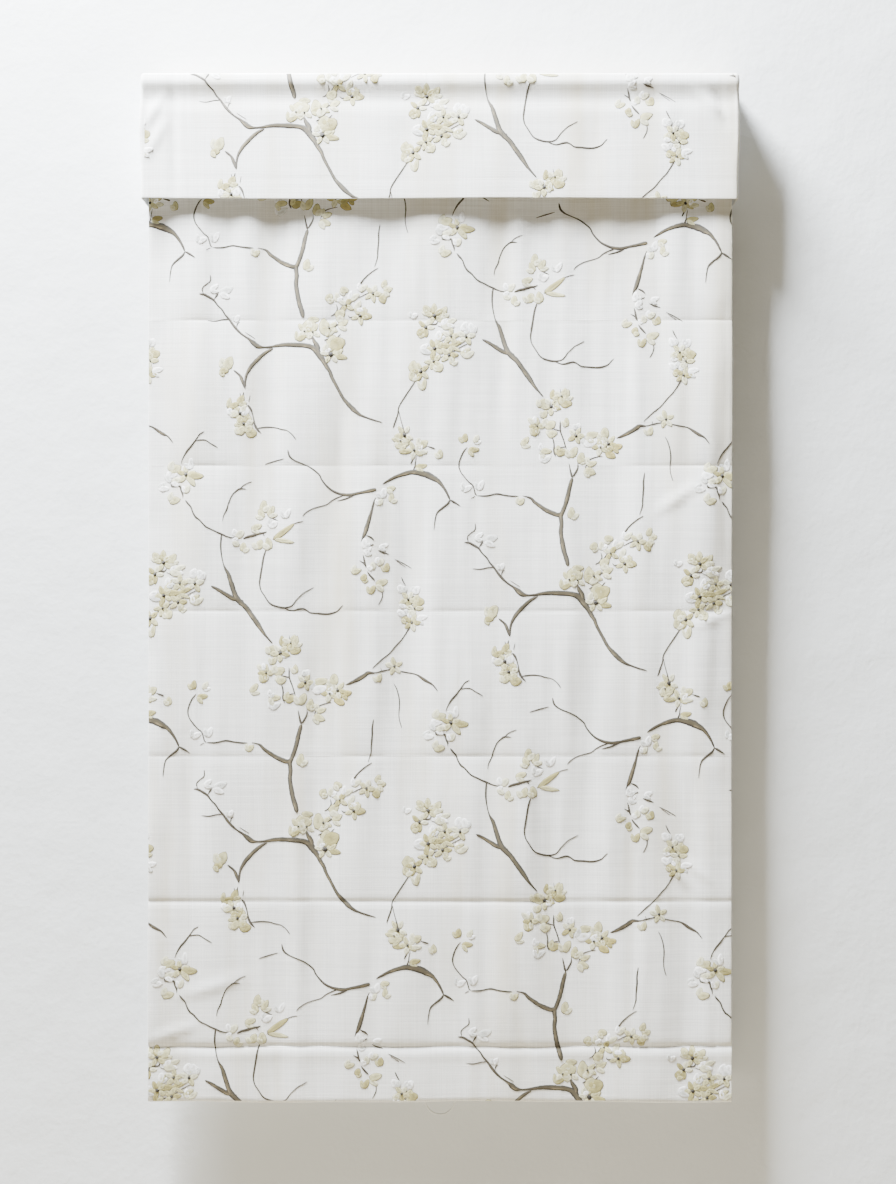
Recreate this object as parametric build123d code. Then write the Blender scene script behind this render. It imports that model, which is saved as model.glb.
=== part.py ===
from build123d import *
from math import acos, cos, radians, sin
import os

# Roman blind, fully lowered, in millimetres.
# +X is to the right, +Z is up, the front faces -Y and the wall is the plane y = 0.
# The origin is the centre of the four wall screw holes in the two brackets.

os.makedirs("parts", exist_ok=True)

# ---- driving dimensions -------------------------------------------------------------

drop = 1608                     # top of the valance to the bottom of the hem
shade_width = 914
valance_side_gap = 8            # shade edge to the outside of a valance return
valance_height = 196
hem_height = 88                 # stitched bottom pocket
rib_count = 6
rib_head_drop = 101             # underside of the channel to the top rib

soft_gap = 0.3                  # cloth to its neighbours
fit_gap = 0.2                   # shafts in bearings, screws in holes, plugs in sections

# wall brackets and head board
bracket_drop = 33               # screw pattern centre to the underside of the board
bracket_leg_down = 60
bracket_leg_out = 45
bracket_width = 20
bracket_sheet = 2.5
bracket_hole_spacing = 25
bracket_hole_radius = 2.5
bracket_end_inset = 17.6        # board end to the bracket's centre line
board_depth = 71
board_thickness = 19
board_edge_radius = 1

# wood screws: the same kind for the brackets and the channel
screw_radius = 1.8
screw_length = 14
screw_head_radius = 3.6
screw_head_height = 1.8
bracket_screw_y = (-14, -34)

# head channel, a section open below, with two lips
channel_front = 48              # wall to the channel's front face
channel_wall = 1.2
channel_lip = 5
channel_end_inset = 25          # shade edge to the end of the channel
channel_screw_inset = 27        # channel end to its outer screws
channel_screw_middle = 180      # centre to its inner screws
cap_plate = 2
cap_plug = 8

# tapes
hook_tape_thickness = 1.2
loop_tape_thickness = 1.0
shade_tape_height = 22
valance_tape_width = 25

# cloth
face_thickness = 0.8
lining_thickness = 0.5
side_hem = 30
valance_thickness = 1.1
valance_top_flap = 42
valance_hem = 30
valance_corner = 5
shade_top_gap = 1               # top edge of the cloth below the board

# ribs
rib_radius = 1.5
rib_end_gap = 16                # shade edge to the end of a rib
rib_tape_wall = 0.5
rib_tape_height = 12
rib_tape_inset = 10             # shade edge to the end of a rib's tape
ring_radius = 4.6               # cord rings, to the middle of the wire
ring_wire = 0.9
cord_column_inset = 97          # shade edge to the outer cords

# lift cords and the pieces at their lower ends
cord_radius = 0.7
bead_radius = 4
bead_height = 16
bead_drop = 7                   # hem line to the top of a bead
cord_end_in_bead = 6
cord_wrap = 250                 # degrees of cord left round a spool
hem_ring_drop = 4

# bottom bar
bar_height = 25
bar_thickness = 4.4
bar_end_inset = 17              # shade edge to the end of the bar
bar_edge_radius = 2.1
bar_lift = 12                   # hem bottom to the underside of the bar
bar_cap_length = 10
bar_cap_wall = 0.4

# pull ring and its tab
pull_ring_outer = 25
pull_ring_wire = 1.5
pull_ring_show = 24             # how far the ring hangs below the hem
tab_width = 8
tab_wall = 0.8
tab_loop_radius = 2.3
tab_height = 24

# lift shaft, spools and cradles
shaft_across_flats = 5
shaft_end_show = 1.7            # shaft beyond its collars
spool_radius = 8
spool_flange_rise = 2.5         # flange above the drum it ends
spool_under_room = 1            # flange to the cradle's base
spool_flange = 2
spool_drum_length = 38
spool_side_gap = 1
cradle_wall = 3
cradle_base = 2
cradle_above_axis = 6
cord_slot_width = 4
collar_radius = 5
collar_length = 5

# spring motor
motor_x = 90
motor_length = 64
motor_wall = 1.3
motor_height = 25
cover_thickness = 1.5
motor_head_room = 3.1           # cover to the underside of the channel's web
drum_back_room = 1.4            # storage drum to the housing's back wall
drum_spacing = 14.8
drum_core_radius = 4.4
drum_flange_radius = 6.9
drum_flange = 1.2
strip_width = 24
strip_gap = 0.3
strip_full_turns = 1.6          # radial build of the turns on the output drum
strip_few_turns = 0.6           # radial build of the turns on the storage drum
strip_bridge = 0.4
pin_radius = 1.5
boss_radius = 3
cover_screw_radius = 1.1
cover_screw_head = 2.1
cover_screw_head_height = 1.2
cover_screw_length = 9
boss_end_inset = 5.5
boss_side_inset = 4.5

# ---- places worked out from them ----------------------------------------------------

shade_half = shade_width / 2
valance_width = shade_width + 2 * valance_side_gap
channel_length = shade_width - 2 * channel_end_inset
bar_length = shade_width - 2 * bar_end_inset
cord_column_x = shade_half - cord_column_inset
channel_screw_end = channel_length / 2 - channel_screw_inset
channel_screw_x = (-channel_screw_end, -channel_screw_middle, channel_screw_middle, channel_screw_end)

board_bottom = bracket_drop
board_top = board_bottom + board_thickness
board_half = valance_width / 2 - valance_thickness - soft_gap
bracket_x = board_half - bracket_end_inset

valance_lid_under = board_top + hook_tape_thickness + loop_tape_thickness + soft_gap
valance_top = valance_lid_under + valance_thickness
valance_bottom = valance_top - valance_height
valance_back_face = -board_depth - soft_gap
valance_front = valance_back_face - valance_thickness

spool_flange_radius = spool_radius + spool_flange_rise
motor_stack = motor_height + cover_thickness + motor_head_room
spool_stack = 2 * (spool_flange_radius + cradle_base + spool_under_room)
channel_height = max(motor_stack, spool_stack) + 2 * channel_wall

hem_bottom = valance_top - drop
hem_line = hem_bottom + hem_height
rib_spacing = (board_bottom - channel_height - rib_head_drop - hem_line) / rib_count
rib_heights = [hem_line + rib_spacing * (i + 1) for i in range(rib_count)]

channel_bottom = board_bottom - channel_height
channel_y0 = -channel_front
inner_y0 = channel_y0 + channel_wall
lip_top = channel_bottom + channel_wall
web_under = board_bottom - channel_wall

# layers of the shade, from the channel forwards
hook_tape_front = channel_y0 - hook_tape_thickness
flap_back = hook_tape_front - soft_gap
flap_front = flap_back - face_thickness
loop_tape_front = hook_tape_front - loop_tape_thickness
lining_back = min(flap_front, loop_tape_front) - soft_gap
lining_front = lining_back - lining_thickness
face_back = lining_front - soft_gap
face_front = face_back - face_thickness

shade_top = board_bottom - shade_top_gap

# layers behind the shade, from the flap backwards
rib_tape_thickness = 2 * (rib_radius + soft_gap + rib_tape_wall)
rib_tape_front = flap_back + soft_gap
rib_tape_back = rib_tape_front + rib_tape_thickness
rib_y = (rib_tape_front + rib_tape_back) / 2
ring_y = rib_tape_back + soft_gap + ring_radius + ring_wire
cord_y = ring_y
hem_back = rib_tape_back

# lift shaft: the cord leaves the front of each spool and falls through the rings
shaft_corner_radius = shaft_across_flats / 2 / cos(radians(30))
shaft_y = cord_y + cord_radius + soft_gap + spool_radius
shaft_z = (lip_top + web_under) / 2
inner_y1 = shaft_y + drum_spacing + drum_flange_radius + drum_back_room + motor_wall + fit_gap
channel_y1 = inner_y1 + channel_wall
spool_half = spool_drum_length / 2 + spool_flange
cradle_half = spool_half + spool_side_gap + cradle_wall
bearing_radius = shaft_corner_radius + fit_gap
shaft_length = 2 * (cord_column_x + cradle_half + soft_gap + collar_length + shaft_end_show)
cord_columns = (-cord_column_x, 0, cord_column_x)
column_names = ("left", "centre", "right")


# ---- helpers ------------------------------------------------------------------------

def block(x0, x1, y0, y1, z0, z1):
    centre = Pos((x0 + x1) / 2, (y0 + y1) / 2, (z0 + z1) / 2)
    return centre * Box(x1 - x0, y1 - y0, z1 - z0)


def rod_x(radius, x0, x1, y, z):
    return Pos((x0 + x1) / 2, y, z) * Rot(0, 90, 0) * Cylinder(radius, x1 - x0)


def rod_z(radius, x, y, z0, z1):
    return Pos(x, y, (z0 + z1) / 2) * Cylinder(radius, z1 - z0)


def rod_y(radius, x, y0, y1, z):
    return Pos(x, (y0 + y1) / 2, z) * Rot(90, 0, 0) * Cylinder(radius, y1 - y0)


def hex_x(across_flats, x0, x1, y, z):
    corner = across_flats / 2 / cos(radians(30))
    section = Plane.YZ * RegularPolygon(corner, 6)
    return Pos(x0, y, z) * extrude(section, x1 - x0)


def save(name, *solids):
    shape = solids[0] if len(solids) == 1 else Compound(children=list(solids))
    export_step(shape, f"parts/{name}.step")


# ---- head: board, brackets, channel -------------------------------------------------

def make_board():
    board = block(-board_half, board_half, -board_depth, 0, board_bottom, board_top)
    corners = [e for e in board.edges().filter_by(Axis.Z) if e.center().Y < -1]
    board = fillet(corners, valance_corner)
    board = fillet(board.edges().filter_by(Axis.X), board_edge_radius)
    hole_top = board_bottom + screw_length + 1
    for x in (-bracket_x, bracket_x):
        for y in bracket_screw_y:
            board -= rod_z(screw_radius + fit_gap, x, y, board_bottom - 1, hole_top)
    for x in channel_screw_x:
        board -= rod_z(screw_radius + fit_gap, x, shaft_y, board_bottom - 1, hole_top)
    return board


def make_bracket(x):
    x0 = x - bracket_width / 2
    x1 = x + bracket_width / 2
    down = block(x0, x1, -bracket_sheet, 0, board_bottom - bracket_leg_down, board_bottom)
    out = block(x0, x1, -bracket_leg_out, 0, board_bottom - bracket_sheet, board_bottom)
    bracket = down + out
    foot_z = board_bottom - bracket_leg_down
    feet = [e for e in bracket.edges().filter_by(Axis.Y) if e.center().Z < foot_z + 1]
    bracket = fillet(feet, bracket_width / 4)
    tips = [e for e in bracket.edges().filter_by(Axis.Z) if e.center().Y < 1 - bracket_leg_out]
    bracket = fillet(tips, bracket_width / 4)
    for z in (-bracket_hole_spacing / 2, bracket_hole_spacing / 2):
        bracket -= rod_y(bracket_hole_radius, x, -bracket_sheet - 1, 1, z)
    for y in bracket_screw_y:
        bracket -= rod_z(screw_radius + fit_gap, x, y, board_bottom - bracket_sheet - 1, board_bottom + 1)
    return bracket


def wood_screw(x, y, seat_z):
    shank = rod_z(screw_radius, x, y, seat_z, seat_z + screw_length)
    head = rod_z(screw_head_radius, x, y, seat_z - screw_head_height, seat_z)
    screw = fillet((shank + head).edges().sort_by(Axis.Z)[0], screw_head_height / 2)
    slot_depth = screw_head_height / 3
    slot = block(x - screw_head_radius, x + screw_head_radius, y - 0.5, y + 0.5,
                 seat_z - screw_head_height - 1, seat_z - screw_head_height + slot_depth)
    return screw - slot


def make_channel():
    half = channel_length / 2
    channel = block(-half, half, channel_y0, channel_y1, channel_bottom, board_bottom)
    channel -= block(-half, half, inner_y0, inner_y1, lip_top, web_under)
    channel -= block(-half, half, inner_y0 + channel_lip, inner_y1 - channel_lip, channel_bottom, lip_top)
    for x in channel_screw_x:
        channel -= rod_z(screw_radius + fit_gap, x, shaft_y, web_under - 1, board_bottom + 1)
    return channel


def make_channel_cap(side):
    half = channel_length / 2
    plate = block(half, half + cap_plate, channel_y0, channel_y1, channel_bottom, board_bottom - soft_gap)
    plate = fillet(plate.edges().filter_by(Axis.X), 1)
    plug = block(half - cap_plug, half, inner_y0 + fit_gap, inner_y1 - fit_gap,
                 lip_top + fit_gap, web_under - fit_gap)
    cap = plate + plug
    return cap if side > 0 else mirror(cap, about=Plane.YZ)


save("head_board", make_board())
save("wall_bracket_left", make_bracket(-bracket_x))
save("wall_bracket_right", make_bracket(bracket_x))
save("bracket_screws", *[wood_screw(x, y, board_bottom - bracket_sheet)
                         for x in (-bracket_x, bracket_x) for y in bracket_screw_y])
save("head_channel", make_channel())
save("channel_screws", *[wood_screw(x, shaft_y, web_under) for x in channel_screw_x])
save("channel_cap_left", make_channel_cap(-1))
save("channel_cap_right", make_channel_cap(1))


# ---- tapes --------------------------------------------------------------------------

loop_half = shade_half - side_hem - 3
shade_tape_z0 = board_bottom - shade_tape_height - 2
shade_tape_z1 = shade_tape_z0 + shade_tape_height
tape_half = channel_length / 2
valance_tape_y0 = -board_depth + 6
valance_tape_y1 = valance_tape_y0 + valance_tape_width
valance_tape_mid = board_top + hook_tape_thickness

save("shade_hook_tape", block(-tape_half, tape_half, hook_tape_front, channel_y0,
                              shade_tape_z0, shade_tape_z1))
save("shade_loop_tape", block(-loop_half, loop_half, loop_tape_front, hook_tape_front,
                              shade_tape_z0, shade_tape_z1))
save("valance_hook_tape", block(-board_half + 4, board_half - 4, valance_tape_y0, valance_tape_y1,
                                board_top, valance_tape_mid))
save("valance_loop_tape", block(-board_half + 4, board_half - 4, valance_tape_y0, valance_tape_y1,
                                valance_tape_mid, valance_tape_mid + loop_tape_thickness))


# ---- valance: one folded cloth ------------------------------------------------------

def valance_shell(inset, radius):
    half = valance_width / 2 - inset
    front = valance_front + inset
    top = valance_top - inset
    shell = block(-half, half, front, 20, valance_bottom - 20, top)
    standing = [e for e in shell.edges().filter_by(Axis.Z) if e.center().Y < 0]
    shell = fillet(standing, radius)
    rim = [e for e in shell.edges() if abs(e.center().Z - top) < 0.01 and e.center().Y < 19]
    return fillet(rim, radius - 0.2)


def make_valance():
    half = valance_width / 2
    shell = valance_shell(0, valance_corner)
    shell -= valance_shell(valance_thickness, valance_corner - valance_thickness)
    shell -= block(-half - 5, half + 5, -soft_gap, 30, valance_bottom - 30, valance_top + 5)
    shell -= block(-half - 5, half + 5, valance_front - 5, 30, valance_bottom - 30, valance_bottom)
    flap_edge = valance_front + valance_top_flap
    inner = half - valance_corner
    shell -= block(-inner, inner, flap_edge, 30, valance_lid_under - 2, valance_top + 5)
    hem = block(-inner, inner, valance_back_face, valance_back_face + valance_thickness,
                valance_bottom, valance_bottom + valance_hem)
    return shell + hem


save("valance", make_valance())


# ---- shade: face cloth with side hems and a bottom pocket, and its lining ------------

def make_face_cloth():
    front = block(-shade_half, shade_half, face_front, face_back, hem_bottom, shade_top)
    pocket_back = block(-shade_half, shade_half, hem_back - face_thickness, hem_back, hem_bottom, hem_line)
    pocket_foot = block(-shade_half, shade_half, face_front, hem_back, hem_bottom, hem_bottom + face_thickness)
    seam = block(-shade_half, shade_half, face_front, hem_back, hem_line - 2 * face_thickness, hem_line)
    face = front + pocket_back + pocket_foot + seam
    for side in (-1, 1):
        edge = side * shade_half
        turn = edge - side * face_thickness
        inner = edge - side * side_hem
        x0, x1 = min(edge, turn), max(edge, turn)
        face += block(x0, x1, face_front, flap_back, hem_line - face_thickness, shade_top)
        x0, x1 = min(edge, inner), max(edge, inner)
        face += block(x0, x1, flap_front, flap_back, hem_line - face_thickness, shade_top)
    foot_edges = [e for e in face.edges().filter_by(Axis.X) if e.center().Z < hem_bottom + 0.01]
    return fillet(foot_edges, face_thickness * 0.9)


def make_lining():
    half = shade_half - face_thickness - soft_gap
    return block(-half, half, lining_front, lining_back, hem_line + soft_gap, shade_top)


save("shade_face", make_face_cloth())
save("shade_lining", make_lining())


# ---- ribs, their pockets and their rings --------------------------------------------

def make_rib_tape(z):
    half = shade_half - rib_tape_inset
    section = Plane.YZ * RectangleRounded(rib_tape_thickness, rib_tape_height, rib_tape_thickness / 2 - 0.01)
    tape = Pos(-half, rib_y, z) * extrude(section, 2 * half)
    return tape - rod_x(rib_radius + soft_gap, -half - 1, half + 1, rib_y, z)


def make_rib(z):
    half = shade_half - rib_end_gap
    rib = rod_x(rib_radius, -half, half, rib_y, z)
    return fillet(rib.edges().filter_by(GeomType.CIRCLE), rib_radius / 3)


def cord_rings(z):
    return [Pos(x, ring_y, z) * Torus(ring_radius, ring_wire) for x in cord_columns]


for i, z in enumerate(rib_heights):
    save(f"rib_{i + 1}", make_rib(z))
    save(f"rib_tape_{i + 1}", make_rib_tape(z))
    save(f"rib_rings_{i + 1}", *cord_rings(z))


# ---- bottom bar, hem rings and cord beads -------------------------------------------

bar_z0 = hem_bottom + bar_lift
bar_z1 = bar_z0 + bar_height
pocket_y0 = face_back
pocket_y1 = hem_back - face_thickness
bar_y = (pocket_y0 + pocket_y1) / 2


def make_bar():
    half = bar_length / 2
    bar = block(-half, half, bar_y - bar_thickness / 2, bar_y + bar_thickness / 2, bar_z0, bar_z1)
    return fillet(bar.edges().filter_by(Axis.X), bar_edge_radius)


def make_bar_cap(side):
    half = bar_length / 2
    reach = bar_thickness / 2 + bar_cap_wall
    cap = block(half, half + bar_cap_length, bar_y - reach, bar_y + reach,
                bar_z0 - bar_cap_wall, bar_z1 + bar_cap_wall)
    cap = fillet(cap.edges().filter_by(Axis.X), bar_edge_radius)
    return cap if side > 0 else mirror(cap, about=Plane.YZ)


def make_bead(x):
    z1 = hem_line - bead_drop
    z0 = z1 - bead_height
    bead = rod_z(bead_radius, x, cord_y, z0, z1)
    bead = fillet(bead.edges().filter_by(GeomType.CIRCLE), bead_radius * 0.6)
    return bead - rod_z(cord_radius + soft_gap, x, cord_y, z0 - 1, z1 + 1)


save("bottom_bar", make_bar())
save("bar_cap_left", make_bar_cap(-1))
save("bar_cap_right", make_bar_cap(1))
save("hem_rings", *cord_rings(hem_line - hem_ring_drop))
save("cord_beads", *[make_bead(x) for x in cord_columns])


# ---- pull ring, hanging in a tab behind the hem -------------------------------------

tab_radius = tab_loop_radius + tab_wall
pull_y = hem_back + soft_gap + tab_radius
pull_ring_major = pull_ring_outer - pull_ring_wire
pull_ring_z = hem_bottom - pull_ring_show + pull_ring_outer
pull_pivot_z = pull_ring_z + pull_ring_major


def make_tab():
    tail = block(-tab_width / 2, tab_width / 2, pull_y - tab_radius, pull_y - tab_radius + 2 * tab_wall,
                 pull_pivot_z, pull_pivot_z + tab_height)
    loop = rod_x(tab_radius, -tab_width / 2, tab_width / 2, pull_y, pull_pivot_z)
    shoulder = block(-tab_width / 2, tab_width / 2, pull_y - tab_radius, pull_y,
                     pull_pivot_z, pull_pivot_z + tab_radius)
    eye = rod_x(tab_loop_radius, -tab_width / 2 - 1, tab_width / 2 + 1, pull_y, pull_pivot_z)
    return tail + loop + shoulder - eye


save("pull_tab", make_tab())
save("pull_ring", Pos(0, pull_y, pull_ring_z) * Rot(90, 0, 0) * Torus(pull_ring_major, pull_ring_wire))


# ---- lift cords: up from the bead and over the front of the spool --------------------

def make_cord(x):
    z0 = hem_line - bead_drop - cord_end_in_bead
    fall = rod_z(cord_radius, x, cord_y, z0, shaft_z)
    section = Pos(x, cord_y, shaft_z) * Circle(cord_radius)
    wrap = revolve(section, Axis((x, shaft_y, shaft_z), (-1, 0, 0)), cord_wrap)
    return fall + wrap


for name, x in zip(column_names, cord_columns):
    save(f"lift_cord_{name}", make_cord(x))


# ---- lift shaft, spools, cradles and collars ----------------------------------------

def make_spool(x):
    drum = rod_x(spool_radius, x - spool_half, x + spool_half, shaft_y, shaft_z)
    for side in (-1, 1):
        outer = x + side * spool_half
        inner = outer - side * spool_flange
        drum += rod_x(spool_flange_radius, min(outer, inner), max(outer, inner), shaft_y, shaft_z)
    return drum - hex_x(shaft_across_flats + 2 * fit_gap, x - spool_half, x + spool_half, shaft_y, shaft_z)


def make_cradle(x):
    y0 = inner_y0 + fit_gap
    y1 = inner_y1 - fit_gap
    cradle = block(x - cradle_half, x + cradle_half, y0, y1, lip_top, lip_top + cradle_base)
    for side in (-1, 1):
        outer = x + side * cradle_half
        inner = outer - side * cradle_wall
        cradle += block(min(outer, inner), max(outer, inner), y0, y1, lip_top, shaft_z + cradle_above_axis)
    cradle -= rod_x(bearing_radius, x - cradle_half - 1, x + cradle_half + 1, shaft_y, shaft_z)
    slot_half = spool_drum_length / 2
    cradle -= block(x - slot_half, x + slot_half, cord_y - cord_slot_width / 2, cord_y + cord_slot_width / 2,
                    lip_top - 1, lip_top + cradle_base + 1)
    return cradle


def make_collar(side):
    inner = cord_column_x + cradle_half + soft_gap
    collar = rod_x(collar_radius, inner, inner + collar_length, shaft_y, shaft_z)
    collar -= hex_x(shaft_across_flats + 2 * fit_gap, inner, inner + collar_length, shaft_y, shaft_z)
    return collar if side > 0 else mirror(collar, about=Plane.YZ)


save("lift_shaft", hex_x(shaft_across_flats, -shaft_length / 2, shaft_length / 2, shaft_y, shaft_z))
save("shaft_collars", make_collar(-1), make_collar(1))
for name, x in zip(column_names, cord_columns):
    save(f"cord_spool_{name}", make_spool(x))
    save(f"spool_cradle_{name}", make_cradle(x))


# ---- spring motor -------------------------------------------------------------------

motor_y0 = inner_y0 + fit_gap
motor_y1 = inner_y1 - fit_gap
motor_z0 = lip_top
motor_z1 = motor_z0 + motor_height
motor_x0 = motor_x - motor_length / 2
motor_x1 = motor_x + motor_length / 2
storage_y = shaft_y + drum_spacing
drum_half = strip_width / 2 + strip_gap + drum_flange
boss_places = [(motor_x0 + boss_end_inset, motor_y0 + boss_side_inset),
               (motor_x1 - boss_end_inset, motor_y0 + boss_side_inset),
               (motor_x0 + boss_end_inset, motor_y1 - boss_side_inset),
               (motor_x1 - boss_end_inset, motor_y1 - boss_side_inset)]


def make_drum(y, bore):
    drum = rod_x(drum_core_radius, motor_x - drum_half, motor_x + drum_half, y, shaft_z)
    for side in (-1, 1):
        outer = motor_x + side * drum_half
        inner = outer - side * drum_flange
        drum += rod_x(drum_flange_radius, min(outer, inner), max(outer, inner), y, shaft_z)
    return drum - bore


def make_strip():
    coil_inner = drum_core_radius + strip_gap
    full = coil_inner + strip_full_turns
    few = coil_inner + strip_few_turns
    # the strip crosses over from the full coil to the other one along their inner tangent
    lean = acos((full + few) / drum_spacing)
    normal = Vector(cos(lean), sin(lean))
    start = Vector(shaft_y, shaft_z) + normal * full
    end = Vector(storage_y, shaft_z) - normal * few
    across = normal * (strip_bridge / 2)
    run = Polyline(start - across, start + across, end + across, end - across, close=True)
    section = Pos(shaft_y, shaft_z) * Circle(full) + Pos(storage_y, shaft_z) * Circle(few)
    section += make_face(run)
    section -= Pos(shaft_y, shaft_z) * Circle(coil_inner)
    section -= Pos(storage_y, shaft_z) * Circle(coil_inner)
    return Pos(motor_x - strip_width / 2, 0, 0) * extrude(Plane.YZ * section, strip_width)


def make_housing():
    housing = block(motor_x0, motor_x1, motor_y0, motor_y1, motor_z0, motor_z1)
    housing = fillet(housing.edges().filter_by(Axis.Z), 2)
    housing -= block(motor_x0 + motor_wall, motor_x1 - motor_wall, motor_y0 + motor_wall,
                     motor_y1 - motor_wall, motor_z0 + motor_wall, motor_z1 + 1)
    for x, y in boss_places:
        housing += rod_z(boss_radius, x, y, motor_z0 + motor_wall, motor_z1)
        housing -= rod_z(cover_screw_radius + fit_gap, x, y, motor_z1 - cover_screw_length, motor_z1 + 1)
    housing -= rod_x(bearing_radius, motor_x0 - 1, motor_x1 + 1, shaft_y, shaft_z)
    housing -= rod_x(pin_radius + fit_gap, motor_x0 - 1, motor_x1 + 1, storage_y, shaft_z)
    return housing


def make_cover():
    cover = block(motor_x0, motor_x1, motor_y0, motor_y1, motor_z1, motor_z1 + cover_thickness)
    cover = fillet(cover.edges().filter_by(Axis.Z), 2)
    for x, y in boss_places:
        cover -= rod_z(cover_screw_radius + fit_gap, x, y, motor_z1 - 1, motor_z1 + cover_thickness + 1)
    return cover


def cover_screw(x, y):
    seat = motor_z1 + cover_thickness
    shank = rod_z(cover_screw_radius, x, y, seat - cover_screw_length, seat)
    head = rod_z(cover_screw_head, x, y, seat, seat + cover_screw_head_height)
    return shank + head


save("output_drum", make_drum(shaft_y, hex_x(shaft_across_flats + 2 * fit_gap, motor_x - drum_half,
                                             motor_x + drum_half, shaft_y, shaft_z)))
save("storage_drum", make_drum(storage_y, rod_x(pin_radius + fit_gap, motor_x - drum_half,
                                                motor_x + drum_half, storage_y, shaft_z)))
save("storage_pin", rod_x(pin_radius, motor_x0, motor_x1, storage_y, shaft_z))
save("spring_strip", make_strip())
save("motor_housing", make_housing())
save("motor_cover", make_cover())
save("cover_screws", *[cover_screw(x, y) for x, y in boss_places])

# what the record states, printed so that it can be copied
travel = 1300
anchor = channel_bottom
print("anchor z", anchor, "hem line", hem_line, "ribs", [round(z, 2) for z in rib_heights])
print("rib ratios", [round((anchor - z) / (anchor - hem_line), 5) for z in rib_heights])
print("keep", round(1 - travel / (anchor - hem_line), 5))
print("shaft", shaft_y, shaft_z, "storage", storage_y, "cord", cord_y, "bracket x", bracket_x)
print("pull ring", pull_y, pull_ring_z, pull_pivot_z, "hem bottom", hem_bottom, "valance", valance_bottom, valance_top)
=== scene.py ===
import math
import random
import bmesh
import bpy
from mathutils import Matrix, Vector, noise


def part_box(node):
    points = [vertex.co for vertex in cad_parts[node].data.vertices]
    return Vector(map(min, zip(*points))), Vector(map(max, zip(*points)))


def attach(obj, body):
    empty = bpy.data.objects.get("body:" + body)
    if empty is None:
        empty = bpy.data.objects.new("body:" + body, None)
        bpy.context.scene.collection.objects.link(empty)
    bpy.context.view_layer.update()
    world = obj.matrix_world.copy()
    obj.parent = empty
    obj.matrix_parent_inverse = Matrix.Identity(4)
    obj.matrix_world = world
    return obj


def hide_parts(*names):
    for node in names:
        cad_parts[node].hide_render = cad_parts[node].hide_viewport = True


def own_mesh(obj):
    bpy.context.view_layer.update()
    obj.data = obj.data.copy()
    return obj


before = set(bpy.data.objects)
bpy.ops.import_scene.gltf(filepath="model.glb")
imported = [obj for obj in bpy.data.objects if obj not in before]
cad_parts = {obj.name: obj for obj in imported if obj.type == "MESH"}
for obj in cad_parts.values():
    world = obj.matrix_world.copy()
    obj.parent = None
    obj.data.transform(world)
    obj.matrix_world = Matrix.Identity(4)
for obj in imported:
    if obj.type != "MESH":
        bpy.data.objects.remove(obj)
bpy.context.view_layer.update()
print("frame loaded")


# ---- helpers -------------------------------------------------------------------

def tone(r, g, b):
    # an 8-bit display colour as a linear one
    def linear(v):
        v /= 255
        return v / 12.92 if v <= 0.04045 else ((v + 0.055) / 1.055) ** 2.4
    return (linear(r), linear(g), linear(b), 1.0)


def clamp(v, low=0.0, high=1.0):
    return min(max(v, low), high)


def smooth(a, b, v):
    t = clamp((v - a) / (b - a))
    return t * t * (3 - 2 * t)


def meshPiece(name, bm, mats, body, weld=0.0):
    if weld:
        bmesh.ops.remove_doubles(bm, verts=bm.verts, dist=weld)
    mesh = bpy.data.meshes.new(name)
    bm.to_mesh(mesh)
    bm.free()
    for p in mesh.polygons:
        p.use_smooth = True
    for m in mats:
        mesh.materials.append(m)
    piece = bpy.data.objects.new(name, mesh)
    bpy.context.scene.collection.objects.link(piece)
    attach(piece, body)
    return piece


def sheetGrid(bm, rows, uvs=None):
    # rows of points of one length become a surface; a None leaves a hole
    uvLayer = bm.loops.layers.uv.verify()
    made = [[None if p is None else bm.verts.new(p) for p in row] for row in rows]
    for i in range(len(rows) - 1):
        for j in range(len(rows[0]) - 1):
            corners = ((i, j), (i, j + 1), (i + 1, j + 1), (i + 1, j))
            if any(made[a][b] is None for a, b in corners):
                continue
            face = bm.faces.new([made[a][b] for a, b in corners])
            for loop, (a, b) in zip(face.loops, corners):
                loop[uvLayer].uv = uvs[a][b] if uvs else (a, b)
    return made


def outward(bm, towards):
    # turns the whole surface so that its front face looks along towards
    bm.normal_update()
    total = Vector((0, 0, 0))
    for f in bm.faces:
        total += f.normal * f.calc_area()
    if total.dot(Vector(towards)) < 0:
        bmesh.ops.reverse_faces(bm, faces=bm.faces)


def faceFront(bm, distance):
    # the face nearest by distance shows which way the whole sheet is turned
    bm.normal_update()
    nearest = min(bm.faces, key=lambda f: distance(f.calc_center_median()))
    if nearest.normal.y > 0:
        bmesh.ops.reverse_faces(bm, faces=bm.faces)


def thicken(piece, thickness):
    solid = piece.modifiers.new("thickness", "SOLIDIFY")
    solid.thickness = thickness
    solid.offset = -1.0
    return solid


# ---- materials -----------------------------------------------------------------

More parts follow.
